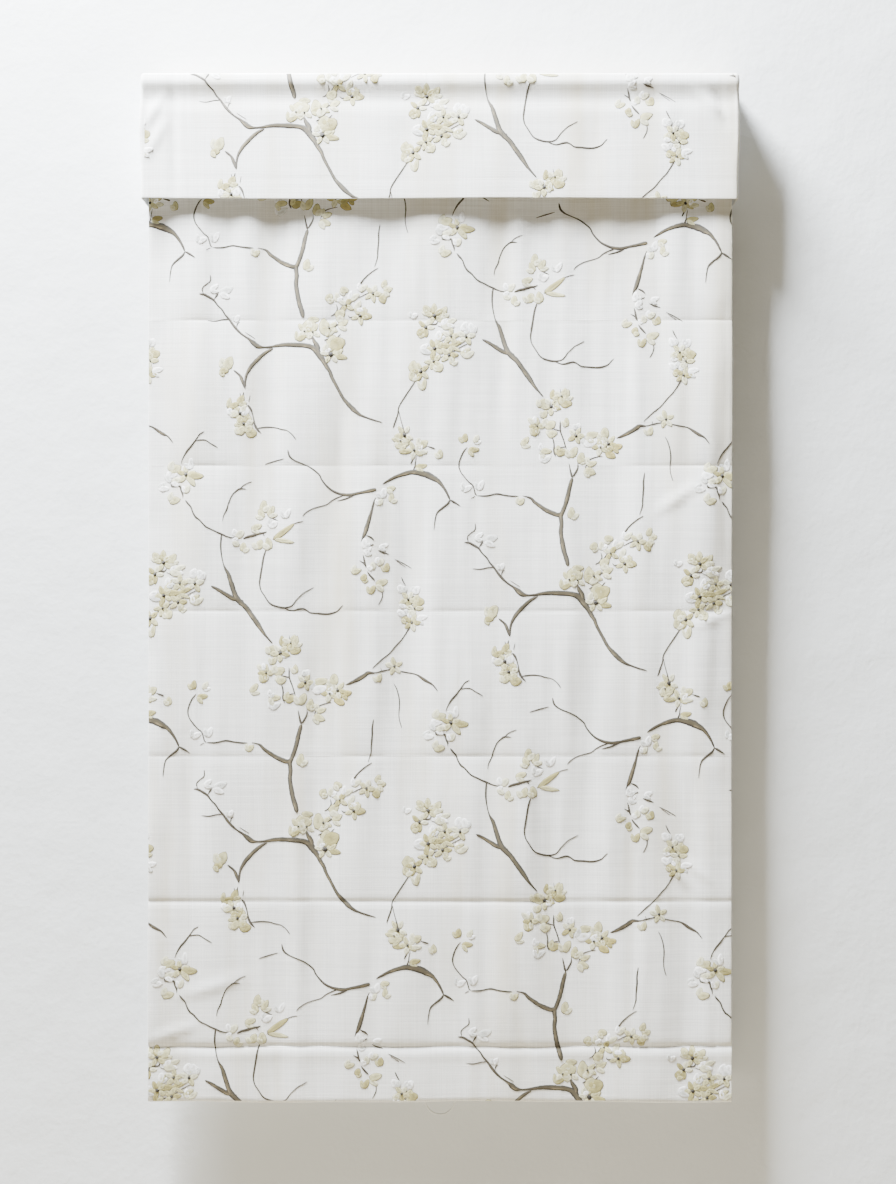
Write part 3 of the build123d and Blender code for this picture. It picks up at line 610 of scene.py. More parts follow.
branches = (
    ((-405, -551, 1.2), (-402, -543, 1.8), (-396, -533, 3), (-389, -525, 3), (-383, -517, 2),
    (-378, -510, 1.8), (-375, -506, 2), (-368, -502, 1.5)),
    ((-389, -525, 1.5), (-383, -517, 1.8), (-373, -515, 1.8), (-366, -515.5, 1.8), (-359, -520, 1.5),
    (-352, -524, 1.8), (-347, -527, 1.5)),
    ((-421, -583, 2.5), (-420, -587, 3), (-415, -588, 1.5), (-407, -587, 3.5), (-404, -595, 3.5),
    (-402, -601, 2.5), (-402, -606, 1)),
    ((-397, -569, 4), (-400, -573, 2), (-404, -578, 1)),
    ((-398, -609, 2), (-395, -613, 3.2), (-389, -620, 2.5), (-386, -628, 2.5), (-381.5, -635.5, 3.2),
    (-375.5, -640, 2.5), (-366, -650, 2.5), (-356, -655, 2.2), (-348, -659, 2.5), (-341, -662, 3),
    (-332, -666, 2), (-323, -668, 1.8), (-319, -668, 1)),
    ((-339.5, -642, 1), (-338, -633, 1.5), (-333, -623, 2.5), (-331, -615, 2), (-325, -601, 2),
    (-318, -594, 2.2), (-313, -591, 3), (-303, -591.5, 1)),
    ((-313, -591, 2), (-308, -586, 1.5), (-301, -582, 1.2), (-294.5, -580, 1)),
    ((-341, -662, 3), (-342, -671, 3), (-342.5, -680, 3), (-342, -689, 2.5), (-340.5, -699, 2),
    (-338, -710, 2), (-334.5, -718, 4), (-331, -724, 6), (-326, -740, 7.5), (-321.5, -754, 8),
    (-318, -762, 9), (-312, -769, 9), (-304, -776.5, 8), (-295, -789, 8), (-285, -803, 8),
    (-276, -816.5, 5), (-269, -825, 3), (-262, -833, 2.5)),
    ((-358, -743, 3), (-348, -748, 5), (-335, -756, 6.5), (-325, -762, 7), (-314.5, -765, 5),
    (-307.5, -766, 1)),
    ((-308, -669, 3.5), (-300.5, -666, 4), (-292, -664, 4.5), (-283, -661, 4), (-276, -660, 3),
    (-271, -658, 2)),
    ((-278, -661, 2.5), (-274.5, -665, 2.5)),
    ((-267, -634, 1.8), (-260.5, -638, 1.8), (-253.5, -641, 1.8)),
    ((-261, -671, 1), (-250, -666, 2.2), (-238, -657, 2.2), (-228, -646, 1.4), (-213.5, -641.5, 0.8)),
    ((-272, -686, 2), (-276, -698, 3), (-279, -715.5, 3), (-281.5, -731, 3), (-282.3, -739, 2.5),
    (-280.5, -749, 2), (-275, -758, 2), (-267.5, -769, 2.2), (-259, -774, 3), (-245, -777, 3),
    (-233.5, -775, 2), (-228, -769.5, 1.8), (-224, -764, 1.5), (-213.5, -754, 1.5), (-208, -751, 1.5),
    (-198, -745.5, 1)),
    ((-245, -777, 2), (-236, -781, 2), (-229, -781.5, 2.2), (-222, -779.5, 3), (-214.5, -778.5, 3),
    (-209, -781, 2.2), (-203, -785, 2.5), (-191, -786, 3), (-179, -787, 3.2), (-170, -786, 3),
    (-161, -782.5, 2), (-156, -777, 1.5), (-152, -773, 1)),
    ((-238, -530, 2), (-236.5, -537, 3), (-234, -542, 3.2), (-227, -547, 2.2), (-217.5, -551, 1.8),
    (-208, -555, 2), (-199, -560.5, 2.5), (-189, -569, 2.5), (-185, -577, 2.5), (-178, -586, 3),
    (-170, -593, 3.5), (-159.5, -598, 4), (-151, -600, 5), (-140, -600.5, 5), (-128, -598, 4.5),
    (-118, -596, 5), (-104, -593, 6), (-99.5, -592, 6.5)),
    ((-274, -552.5, 1), (-259, -548, 2), (-244, -544, 1)),
    ((-215, -634, 1), (-210, -628.5, 1.5), (-201, -623, 1.5), (-191, -619.5, 1.5), (-177, -615.5, 1.5),
    (-170, -610, 1.8), (-161, -605, 2), (-151, -601.5, 2)),
    ((-161, -610, 1), (-147, -606.5, 3), (-135, -601.5, 2)),
    ((-90, -584, 1.5), (-84.5, -580.5, 3.5), (-74, -574.5, 5), (-63.5, -570, 6), (-51.5, -566.5, 7.5),
    (-43, -565, 8), (-32, -566.5, 9.5), (-20, -569.5, 11.5), (-11.5, -574, 10), (-3, -579, 7),
    (4, -587, 5), (9.5, -595.5, 4), (13, -602.5, 3.5), (15.5, -608.5, 4)),
    ((15.5, -608.5, 3), (23.5, -613, 3.5), (32, -618.5, 1.2)),
    ((15.5, -608.5, 3), (12, -614.5, 3.5), (4, -621, 3.5), (-3, -627, 3), (-6, -632, 2.2), (-8, -642, 2),
    (-9.5, -655.5, 1)),
    ((-43, -565, 3), (-39.5, -556, 2), (-38.5, -549, 1.5), (-36.5, -540.5, .8)),
    ((-46, -552, 3), (-41.5, -543, 2)),
    ((-100.5, -605, 1.5), (-104, -614, 3), (-107, -626, 4), (-111, -640, 6), (-114, -650, 7),
    (-117.5, -661, 6.5), (-121, -668, 3), (-123.5, -674, 1.5)),
    ((-115, -664, 2.5), (-107.5, -667.5, 3.2), (-103, -672, 3)),
    ((-108, -680, 1.5), (-104, -677.5, 3.5)),
    ((-97, -687, 1.5), (-90, -690.5, 3), (-79.5, -693.5, 1.5)),
    ((-120.5, -694, 1.5), (-118.5, -702, 3), (-117, -710, 3.2), (-115, -714, 3)),
    ((-126, -703.5, 1), (-120, -707, 2.5), (-117, -710, 3)),
    ((-114, -720, 1.5), (-110, -726, 3.2), (-102, -734.5, 3)),
    ((-71, -701, 1), (-57, -708, 1.4), (-44.5, -715.5, 1)),
    ((-68, -704, .8), (-54, -713.5, 1)),
    ((-60.5, -729.5, 2.2), (-57.5, -736.5, 2.2), (-53, -744, 1.5)),
    ((-92.5, -749.5, 1.2), (-90, -754, 1.8), (-90.5, -761, 1.8), (-94, -768.5, 1.5), (-96.5, -772, 1)),
    ((-50, -764, 2.5), (-45, -760.5, 2.5), (-33, -759.5, 1)),
    ((-50, -764, 2), (-43.5, -774, 2), (-40, -778.5, 3.5)),
    ((-50, -792, 2), (-43, -789, 2.5)),
    ((-43.5, -801, 4.5), (-48, -808, 3), (-53, -816.5, 2.2), (-60, -827, 2), (-69, -836.5, 2),
    (-79.5, -849, 2), (-91.5, -858.5, 2), (-105.5, -871.5, 1.2)),
    ((-381.5, -912, 1.2), (-387, -918.5, 2.2), (-392, -929, 2.5), (-394.5, -940, 2.5), (-392, -950, 2),
    (-386, -958.5, 2), (-379, -966.5, 2), (-373, -971.5, 2.2), (-370.5, -978.5, 2.2),
    (-368.5, -985.5, 2.5), (-366, -987.5, 3)),
    ((-375.5, -992, .8), (-369, -988.5, 1.5)),
    ((-365, -988, 1.5), (-351, -988, 2.5), (-339, -985.5, 2.5), (-333, -985, 2.8), (-323, -987, 2.5),
    (-311, -988.5, 2.5), (-301.5, -988.5, 1.5)),
    ((-295, -988, .8), (-288, -989.5, 2), (-281.5, -992, 4), (-276, -998, 5.5), (-269, -1003, 6),
    (-259, -1010, 7), (-248.5, -1015, 7.5), (-239, -1018, 7), (-231, -1015, 6)),
    ((-222, -937.5, 1.5), (-220.5, -946, 2.5), (-218.8, -953.5, 3.5), (-217, -960, 4)),
    ((-208.5, -936, 1), (-208.3, -944, 2.5), (-212, -951.5, 3), (-216, -958, 3.5)),
    ((-217, -960, 6), (-221.5, -976, 7), (-224, -988, 7.5), (-227.5, -1000.5, 7), (-232, -1012.5, 7),
    (-235, -1020, 7), (-234, -1032, 7), (-235, -1045, 7), (-233, -1060, 7.5), (-230, -1075, 8),
    (-226, -1088, 8), (-224, -1098, 6)),
    ((-148, -897.5, .8), (-141.5, -895.5, 4), (-128, -889, 6.5), (-118, -883, 7), (-112.5, -879, 5.5),
    (-104, -879, 2.5), (-98, -878, 1.2), (-91.5, -876.5, 2.5), (-78, -874, 1.8), (-71.5, -875, 2),
    (-65.5, -876, 1.8), (-53, -878.5, 2), (-39.5, -881, 2), (-32.5, -884.5, 3.5), (-25.5, -889.5, 5),
    (-19.5, -893, 4.5), (-11.5, -897.5, 2.5), (-3.5, -907.5, 1.5)),
    ((-91.5, -876.5, 2), (-92.5, -871.5, 1.2)),
    ((-71.5, -869, 3), (-70, -875, 2)),
    ((-72.5, -896, 1.2), (-68, -904.5, 1.8), (-64.5, -917, 2), (-63.5, -929, 2), (-64.5, -943, 1.5),
    (-63.5, -953.5, 1.5), (-60, -965.5, 1.5)),
    ((-104, -951.5, 1.5), (-106, -965.5, 2.8), (-106, -976, 2.8), (-107.5, -993.5, 2.5), (-108, -1004, 2),
    (-112.5, -1018, 1)),
    ((-106.5, -1019.5, 1), (-114.5, -1024.5, 1.8), (-123, -1031, 2), (-130, -1038, 2.2),
    (-133.5, -1043, 2.8), (-137.5, -1046, 2)),
    ((-369, -1031, 2), (-369, -1040.5, 2), (-375.5, -1046, 1.5), (-380.5, -1051, 1.8), (-381, -1055.5, 2),
    (-379.5, -1060.5, 2)),
    ((-386, -1061, 1.5), (-379, -1061.5, 3.5), (-372, -1065, 4), (-364, -1070, 3.5), (-358, -1078, 2.5),
    (-351, -1085, 2.5), (-346, -1093, 2.8), (-340, -1100, 3.5), (-332, -1111, 4.5), (-325, -1119, 4),
    (-318, -1125, 3), (-309, -1131, 4), (-302, -1137, 8), (-295.5, -1142, 8), (-287, -1143.5, 3.5),
    (-276, -1143, 4), (-264, -1141, 5.5), (-252, -1140, 7), (-236, -1140.5, 8), (-220.5, -1141.5, 8),
    (-210, -1144.5, 9), (-203, -1150, 11), (-199, -1156, 10), (-192.5, -1165, 8), (-187.5, -1174, 7),
    (-182, -1182.5, 6), (-178.5, -1192, 5.5), (-170, -1208, 5), (-161.5, -1223.5, 5.5),
    (-152.5, -1234, 7.5), (-144, -1242.5, 7.5), (-135, -1249.5, 5), (-124.5, -1254, 3),
    (-114.5, -1257.5, 2.8), (-100.5, -1261.5, 1.2)),
    ((-363, -1069, 1.5), (-360, -1064, 3), (-357, -1060, 4)),
    ((-373, -1102, 1), (-361.5, -1103, 1.8), (-349.5, -1100.5, 1.8), (-340, -1100, 1.8)),
    ((-328, -1112, 2), (-326.5, -1106.5, 2.2), (-323, -1104.5, 1)),
    ((-314.5, -1120.5, .8), (-299, -1130.5, 1.2)),
    ((-271, -1145.5, 3), (-280, -1150, 5), (-288.5, -1156.5, 6), (-297, -1165, 6.5), (-306, -1175.5, 6),
    (-313, -1189.5, 4), (-315, -1208, 3)),
    ((-332.5, -1180, 3), (-323, -1188, 4), (-319, -1196, 5.5), (-315.5, -1208, 2)),
    ((-209.5, -1126, 2), (-207, -1134, 6), (-202, -1142, 8), (-200, -1150, 8)),
    ((-316.5, -1214, 2), (-318, -1222, 3), (-316.5, -1227, 3.5)),
    ((-322.5, -1216, 2), (-321.5, -1221, 2.5)),
    ((-311, -1234, 3.5), (-306, -1240.5, 3.5), (-302.5, -1251, 1.8), (-300.5, -1262, 3),
    (-297, -1270.5, 4), (-289.5, -1279, 1.2)),
    ((-307, -1219, 1), (-309, -1229, 1.5)),
    ((-295.5, -1270, 2), (-280, -1268.5, 2.2), (-267.5, -1269.5, 1.8), (-259, -1272, 1.8),
    (-249.5, -1274, 1.2), (-241.5, -1280, 1.5), (-235, -1288.5, 2)),
    ((-46, -1193, 1.2), (-51.5, -1201, 2), (-58.5, -1211.5, 2.2), (-65.5, -1222, 2.2),
    (-71.5, -1231.5, 2.2), (-75, -1239, 2), (-76, -1248, 2.2), (-79.5, -1258.5, 2.8), (-83.5, -1270, 2)),
    ((-75, -1241, 1.2), (-71.5, -1256.5, 1.5), (-68, -1269, 2), (-66, -1279, 5), (-64.5, -1285, 3)),
    ((-68, -1282, 2), (-74, -1286.5, 2.5), (-76, -1294.5, 1.5)),
    ((-14, -1102.5, 2.5), (-16, -1107.5, 2.5), (-29, -1109, 2.5), (-32.5, -1113, 5)),
    ((-14, -1110, 1), (-1, -1115, 1)),
    ((4, -1118, 1), (7, -1126.5, 4)),
    ((4, -1156.5, 2), (-9.5, -1160, 1.8), (-20, -1166, 2), (-30.5, -1174, 1.8), (-40, -1182, 2.5)),
    ((4, -1156.5, 2), (18, -1146, 1.5), (33, -1138, 1.2)),
    ((-241, -836.5, 1.5), (-249, -847, 3), (-254, -854, 1.5)),
    ((-236, -820, 1), (-234, -832, 1.5)),
    ((-236, -870, 1), (-236, -876, 2.5), (-235.5, -887, 2.5), (-231, -899.5, 2.2), (-227.5, -911, 2.2),
    (-226, -915, 1)),
    ((-227.5, -911, 1.8), (-236, -913, 1.8), (-243, -918, 2)),
    ((-247.5, -883, 1.5), (-236, -886, 2)),
    ((-249, -897, 1), (-247, -900, 2.5), (-245.5, -908, 2.2), (-245.5, -918.5, 3.5), (-243, -926.5, 1.8)),
    ((-197, -944, 1.5), (-191, -932.5, 1.8), (-182, -928, 1.5), (-170, -925.5, 1)),
    ((-177.5, -919, 1.2), (-173, -912, 2)),
    ((-115, -1060, 2), (-121, -1059, 1.8), (-128, -1061.5, 1.5), (-137, -1066.5, 1.2)),
    ((-172, -1077, 1.5), (-170.5, -1085, 2.2), (-175, -1092, 2), (-181, -1095, 1.5)),
    ((-157, -1078, 3), (-163, -1080.5, 2), (-167.5, -1087, 3)),
    ((-135, -1094.5, 2.5), (-151, -1097, 2), (-154, -1093, 1)),
    ((-169, -1107.5, 3), (-177, -1113.5, 2.5), (-181.5, -1120, 2.5), (-185, -1128.5, 2)),
    ((-191, -1133.5, 2.5), (-184, -1131, 2), (-173.5, -1131, 2.2), (-169, -1127, 1.8),
    (-165.5, -1123, 1.2)),
    ((-180.5, -1155.5, 3), (-185.5, -1161.5, 2.2), (-186, -1170.5, 2.2)),
    ((-20, -524.5, 1.5), (-8, -528.5, 3.5)),
)

# dark flower centres: x, z, radius
centres = (
    (-397, -569, 3.5), (-40.5, -531, 2.8), (-62, -516, 2), (-50, -764, 2.5), (-44, -800.5, 2.5),
    (-40, -778.5, 2),
    (-18.4, -1094.6, 3.5), (-32.5, -1113, 3), (7, -1127, 2.5), (31, -1127, 3), (-18.4, -1146, 3.5),
    (4, -1156.5, 3),
    (-20, -1166, 2.5), (-40, -1182, 3.5), (-233.5, -832, 2), (-250, -848, 3.5), (-272, -879, 1.8),
    (-211, -894, 2.5),
    (-160.5, -906.5, 3.2), (-173, -912, 2.5), (-71.5, -869, 2.5), (-115, -1060, 2.5), (-157, -1078, 2),
    (-135, -1094.5, 3), (-183, -1114, 2.5), (-180.5, -1155.5, 4.5), (-222, -1119, 2.2), (-209, -1120, 2.2),
    (-322.5, -1247, 3.5), (-317, -1263.5, 3), (-66, -1281, 4),
)

# petals: x, z, length, width, angle in degrees, thread
petals = (
    (-382, -571, 26, 12, -4, "tan"), (-414, -560, 20, 14, 20, "cream"), (-420, -569, 18, 12, 0, "white"),
    (-389, -552, 18, 9, 88, "white"), (-412, -578, 16, 10, 20, "pale"), (-415, -609, 18, 12, 10, "cream"),
    (-395, -592, 14, 9, 60, "pale"), (-432, -591, 16, 10, 0, "white"), (-276, -618, 18, 12, 80, "cream"),
    (-264, -626, 18, 10, 60, "cream"), (-280, -630, 16, 10, 120, "cream"), (-238, -630, 18, 8, 60, "white"),
    (-287, -651, 18, 10, 20, "cream"), (-260, -647, 16, 10, 30, "white"), (-282, -678, 16, 12, 70, "cream"),
    (-268, -677, 18, 12, 100, "cream"), (-313, -662, 16, 11, 40, "pale"), (-319, -677, 12, 9, -30, "pale"),
    (-308, -682, 14, 10, 80, "cream"), (-244, -658, 40, 9, 36, "tan"),
    (-19, -1083, 16, 10, 90, "cream"), (-31, -1085, 15, 12, 130, "cream"), (-5, -1089, 20, 12, 55, "cream"),
    (8, -1103, 18, 9, 20, "pale"), (-41, -1120, 14, 10, 60, "tan"), (-50, -1095, 12, 8, 30, "white"),
    (1, -1111, 18, 12, -10, "pale"), (-4, -1142, 28, 10, 0, "tan"), (16, -1138, 24, 8, 20, "tan"),
    (-32, -1151, 18, 10, -20, "greyWhite"), (-12, -1126, 16, 10, 80, "white"),
    (29, -1112, 16, 12, 70, "white"),
    (39, -1114, 16, 12, 100, "white"), (36, -1155, 18, 10, 30, "pale"), (-10, -1176, 14, 11, 60, "cream"),
    (9, -1165, 14, 9, 80, "cream"), (-52, -1174, 18, 14, 80, "cream"), (-54, -1188, 16, 10, 90, "cream"),
    (-35, -1202, 20, 8, 75, "cream"), (30, -1150, 18, 8, 30, "cream"),
    (-131, -720, 16, 9, 15, "cream"), (-119, -730, 12, 10, 60, "tan"), (-106, -749, 16, 9, 60, "tan"),
    (-91, -738, 20, 12, 20, "cream"), (-83, -714, 14, 10, 80, "tan"), (-93, -706, 14, 10, 30, "pale"),
    (-105, -712, 12, 10, 90, "pale"), (-118, -677, 16, 10, 85, "white"), (-113, -688, 14, 9, 45, "white"),
    (-88, -681, 14, 8, 20, "white"), (-61, -748, 14, 12, 120, "white"), (-37, -750, 14, 12, 50, "white"),
    (-32, -768, 16, 14, 10, "tan"), (-58, -769, 14, 10, 30, "pale"), (-44, -785, 12, 9, 0, "pale"),
    (-61, -786, 14, 10, 140, "white"), (-54, -795, 12, 9, 0, "tan"), (-28, -793, 18, 9, 10, "white"),
    (-76, -591, 14, 9, 10, "cream"), (-88, -598, 16, 10, 80, "white"), (-93, -612, 12, 8, 60, "pale"),
    (-76, -605, 14, 9, 80, "cream"), (-59, -523, 22, 10, 10, "cream"), (-54, -533, 20, 8, 0, "tan"),
    (-26, -521, 16, 12, 30, "cream"), (-27, -534, 16, 8, 0, "pale"), (-29, -556, 18, 9, 10, "tan"),
    (0, -537, 14, 10, 90, "cream"), (-50, -514, 14, 9, 60, "cream"),
    (-247.5, -829, 16, 9, 85, "tan"), (-226, -830, 18, 10, 70, "cream"), (-226, -844, 18, 13, 10, "tan"),
    (-264, -843, 16, 11, 60, "cream"), (-241, -848, 16, 8, 85, "pale"), (-260, -860, 14, 9, 60, "cream"),
    (-251, -877, 18, 14, 30, "cream"), (-226, -873, 14, 9, 90, "cream"), (-248, -891, 16, 12, 20, "cream"),
    (-274, -887, 17, 10, 60, "tan"), (-291, -903, 18, 10, 50, "cream"), (-281, -871, 14, 9, 140, "pale"),
    (-258, -918, 18, 10, 0, "cream"), (-234, -920, 18, 12, 20, "tan"), (-257, -931, 18, 9, 35, "greyWhite"),
    (-266, -912, 12, 8, 90, "white"), (-215, -920, 20, 12, 60, "cream"), (-208, -880, 12, 10, 60, "white"),
    (-203, -929, 18, 12, 80, "cream"), (-186, -893, 22, 12, 10, "cream"), (-166, -890, 18, 14, 85, "cream"),
    (-189, -905, 22, 14, 10, "white"), (-157, -924, 18, 12, -30, "yellowTan"),
    (-145, -911, 14, 10, 10, "yellowTan"),
    (-189, -950, 18, 12, -20, "cream"), (-186, -938, 16, 9, 20, "cream"), (-172, -905, 14, 8, 40, "white"),
    (-95, -887, 14, 9, 70, "cream"), (-297, -997, 14, 9, 40, "cream"), (-218.5, -1015, 18, 12, 80, "cream"),
    (-385, -897.5, 14, 10, 80, "tan"), (-367, -899, 14, 9, 60, "pale"), (-371, -916, 17, 9, 0, "tan"),
    (-360, -972, 17, 9, 65, "white"), (-381, -977, 16, 9, 30, "white"),
    (-363, -1051, 16, 8, 40, "white"), (-344, -1055.5, 22, 12, 20, "greyWhite"),
    (-327, -1099, 12, 8, 60, "white"),
    (-341, -1169, 22, 16, 60, "cream"), (-347, -1181, 14, 10, 0, "tan"),
    (-97, -1045, 14, 10, 70, "cream"), (-91, -1054, 14, 9, 20, "cream"), (-99.5, -1069, 14, 12, -60, "tan"),
    (-130, -1051.5, 16, 9, 40, "pale"), (-144, -1066, 18, 9, 30, "pale"),
    (-159.5, -1055, 14, 11, 0, "cream"),
    (-183, -1067, 14, 12, 60, "cream"), (-171, -1066, 14, 9, 90, "pale"), (-125, -1095, 18, 12, 0, "tan"),
    (-166, -1092, 18, 14, 40, "cream"), (-161, -1106, 18, 10, 30, "cream"),
    (-191, -1112, 26, 16, 90, "cream"),
    (-214, -1112, 24, 20, 10, "cream"), (-226, -1129, 18, 9, 30, "tan"), (-208, -1101, 18, 10, 0, "cream"),
    (-170, -1139, 26, 22, 30, "tan"), (-165, -1159, 20, 10, -10, "tan"), (-188, -1145, 14, 9, 70, "pale"),
    (-138, -1078, 16, 9, 60, "pale"), (-332, -1235, 20, 10, 25, "tan"), (-321, -1226, 16, 11, 60, "tan"),
    (-332, -1248, 16, 11, 20, "pale"), (-321, -1258, 12, 10, 0, "tan"), (-321, -1274, 16, 12, 60, "cream"),
    (-305, -1278, 18, 15, 0, "tan"), (-310, -1257, 14, 12, 70, "cream"), (-314, -1244, 14, 11, 80, "white"),
)
threads = {
    "cream": tone(216, 213, 180), "tan": tone(196, 190, 146), "yellowTan": tone(202, 193, 142),
    "pale": tone(229, 228, 208), "white": tone(251, 252, 252), "greyWhite": tone(224, 226, 224),
    "bark": tone(122, 114, 92), "barkEdge": tone(78, 71, 56), "stem": tone(102, 93, 76),
    "stemEdge": tone(86, 78, 62),
    "centre": tone(70, 62, 46), "centreRim": tone(104, 94, 72), "streak": tone(168, 157, 130),
    "outline": tone(130, 121, 86),
}
# bright tones are flattened on the way to the screen, so the threads are made deeper
for key, colour in threads.items():
    power = {"white": 1.0, "greyWhite": 1.1}.get(key, 1.6)
    threads[key] = tuple(c ** power for c in colour[:3]) + (1.0,)
repeats = ((424, 386), (414, -388))
lighter = {"cream": "pale", "tan": "cream", "yellowTan": "tan", "pale": "white", "white": "greyWhite",
    "greyWhite": "white"}


def turned(x, z, angle, reach):
    return x + reach * math.cos(math.radians(angle)), z + reach * math.sin(math.radians(angle))


def fullFlowers(rng):
    # petals round every dark centre, and a second petal behind each drawn one
    made = []
    for x, z, radius in centres:
        count, start = (5, rng.uniform(0, 72)) if radius > 2.4 else (4, rng.uniform(0, 90))
        for k in range(count):
            angle = start + 360 / count * k + rng.uniform(-9, 9)
            cx, cz = turned(x, z, angle, radius + 5.4)
            made.append((cx, cz, rng.uniform(12.5, 15.5), rng.uniform(7.5, 9.5), angle,
                rng.choice(("cream", "cream", "pale", "tan"))))
    for x, z, long, wide, angle, name in petals:
        baseX, baseZ = turned(x, z, angle + 180, long / 2)
        side = rng.choice((-1, 1)) * rng.uniform(42, 66)
        cx, cz = turned(baseX, baseZ, angle + side, long * 0.42)
        made.append((cx, cz, long * 0.86, wide * 0.85, angle + side, lighter[name]))
        made.append((x, z, long * 1.08, wide * 1.05, angle, name))
    return made


def mixTone(a, b, t):
    return tuple(p + (q - p) * t for p, q in zip(a, b))


def curveAt(p, q, r, s, t):
    bend = (2 * p - 5 * q + 4 * r - s) * t * t
    return 0.5 * (2 * q + (r - p) * t + bend + (3 * q - p - 3 * r + s) * t ** 3)


def curvePoints(points, step):
    # a smooth curve through the listed points
    padded = (points[0],) + tuple(points) + (points[-1],)
    made = []
    for a, b, c, d in zip(padded, padded[1:], padded[2:], padded[3:]):
        count = max(1, round(math.hypot(c[0] - b[0], c[1] - b[1]) / step))
        for k in range(count):
            t = k / count
            made.append(tuple(curveAt(*near, t) for near in zip(a, b, c, d)))
    made.append(tuple(points[-1]))
    return made


class Stitching:
    # gathers flat stitched shapes and lays them on a cloth
    def __init__(self, point, box):
        self.bm = bmesh.new()
        self.uv = self.bm.loops.layers.uv.verify()
        self.colour = self.bm.verts.layers.float_color.new("thread")
        self.point = point
        self.box = box

    def vert(self, x, z, height, colour):
        v = self.bm.verts.new(self.point(x * 0.001, z * 0.001, height * 0.001))
        v[self.colour] = colour
        return v

    def inside(self, x, z, room=0):
        left, right, low, high = self.box
        return left - room < x < right + room and low - room < z < high + room

    def face(self, verts, uvs):
        face = self.bm.faces.new(verts)
        for loop, uv in zip(face.loops, uvs):
            loop[self.uv].uv = uv

    def branch(self, points, dx, dz, rng):
        if not any(self.inside(x + dx, z + dz, 20) for x, z, w in points):
            return
        path = curvePoints(points, 2.6)
        along, rows = 0.0, []
        sway = rng.uniform(0, 40)
        for k, (x, z, w) in enumerate(path):
            ahead, behind = path[min(k + 1, len(path) - 1)], path[max(k - 1, 0)]
            tx, tz = ahead[0] - behind[0], ahead[1] - behind[1]
            size = math.hypot(tx, tz) or 1
            nx, nz = -tz / size, tx / size
            if k:
                along += math.hypot(x - path[k - 1][0], z - path[k - 1][1])
            w = max(w, 0.5) * (1 + 0.14 * noise.noise((x * 0.23, sway, z * 0.23)))
            end = min(k, len(path) - 1 - k)
            w *= (0.35, 0.8)[end] if end < 2 else 1
            thick = smooth(3.2, 6.0, w)
            middle = mixTone(threads["stem"], threads["bark"], thick)
            edge = mixTone(threads["stemEdge"], threads["barkEdge"], thick)
            streak = 0.5 + 0.5 * noise.noise((x * 0.11, sway + 5, z * 0.11))
            left = mixTone(middle, threads["streak"], thick * smooth(0.45, 0.7, streak))
            right = mixTone(middle, threads["barkEdge"], thick * smooth(0.55, 0.8, 1 - streak) * 0.7)
            raise_ = 0.35 + 0.35 * clamp(w / 5)
            row = []
            for across, high, colour in ((-1, 0.02, edge), (-0.68, 0.8, edge), (-0.38, 1.0, left),
                (0.1, 0.85, middle), (0.42, 1.0, right), (0.68, 0.8, edge), (1, 0.02, edge)):
                reach = across * w * 0.5
                row.append((self.vert(x + dx + nx * reach, z + dz + nz * reach, high * raise_, colour),
                    (across * w * 0.0005, along * 0.001)))
            rows.append(row)
        for a, b in zip(rows, rows[1:]):
            for p, q, r, s in zip(a, a[1:], b[1:], b):
                self.face((p[0], q[0], r[0], s[0]), (p[1], q[1], r[1], s[1]))

    def disc(self, x, z, long, wide, angle, rings, rng, sides=12, ragged=0.07):
        if not self.inside(x, z, 25):
            return
        turn = math.radians(angle)
        wobble = [1 + rng.uniform(-ragged, ragged) for _ in range(sides)]
        grain = [rng.uniform(-1, 1) for _ in range(sides)]
        made = []
        for share, height, colour, mottle in rings:
            if share == 0:
                made.append([self.vert(x, z, height, colour)] * sides)
                continue
            ring = []
            for k in range(sides):
                a = 2 * math.pi * k / sides
                u = math.cos(a) * long / 2 * share * wobble[k]
                v = math.sin(a) * wide / 2 * share * wobble[k] * (1 - 0.22 * math.cos(a))
                shadeBy = 1 + mottle * grain[k]
                ring.append(self.vert(x + u * math.cos(turn) - v * math.sin(turn),
                    z + u * math.sin(turn) + v * math.cos(turn), height,
                    tuple(c * shadeBy for c in colour[:3]) + (1,)))
            made.append(ring)
        mean = (long + wide) * 0.00025
        for (share, *_), (nextShare, *_), a, b in zip(rings, rings[1:], made, made[1:]):
            for k in range(sides):
                n = (k + 1) % sides
                v0, v1 = 2 * math.pi * k / sides * mean, 2 * math.pi * (k + 1) / sides * mean
                if share == 0:
                    self.face((a[0], b[k], b[n]), ((0, v0), (nextShare * mean, v0), (nextShare * mean, v1)))
                else:
                    self.face((a[k], b[k], b[n], a[n]),
                        ((share * mean, v0), (nextShare * mean, v0), (nextShare * mean, v1),
                        (share * mean, v1)))

    def petal(self, x, z, long, wide, angle, name, rng):
        fill = threads[name]
        rim = mixTone(fill, threads["outline"],
            {"white": 0.2, "greyWhite": 0.35, "pale": 0.5}.get(name, 0.85))
        heart = mixTone(fill, threads["outline"], 0.35)
        high = rng.uniform(0.3, 0.5)
        self.disc(x, z, long, wide, angle, ((0, high, heart, 0), (0.5, high + 0.25, fill, 0.1),
            (0.85, high + 0.15, fill, 0.16), (0.93, high, rim, 0.1), (1.0, 0.03, rim, 0.1)), rng, 10)

    def centre(self, x, z, radius, rng):
        self.disc(x, z, radius * 2, radius * 1.8, rng.uniform(0, 180),
            ((0, 1.5, threads["centre"], 0), (0.65, 1.3, threads["centre"], 0.1),
            (1.0, 0.05, threads["centreRim"], 0.1)), rng, 8, 0.14)

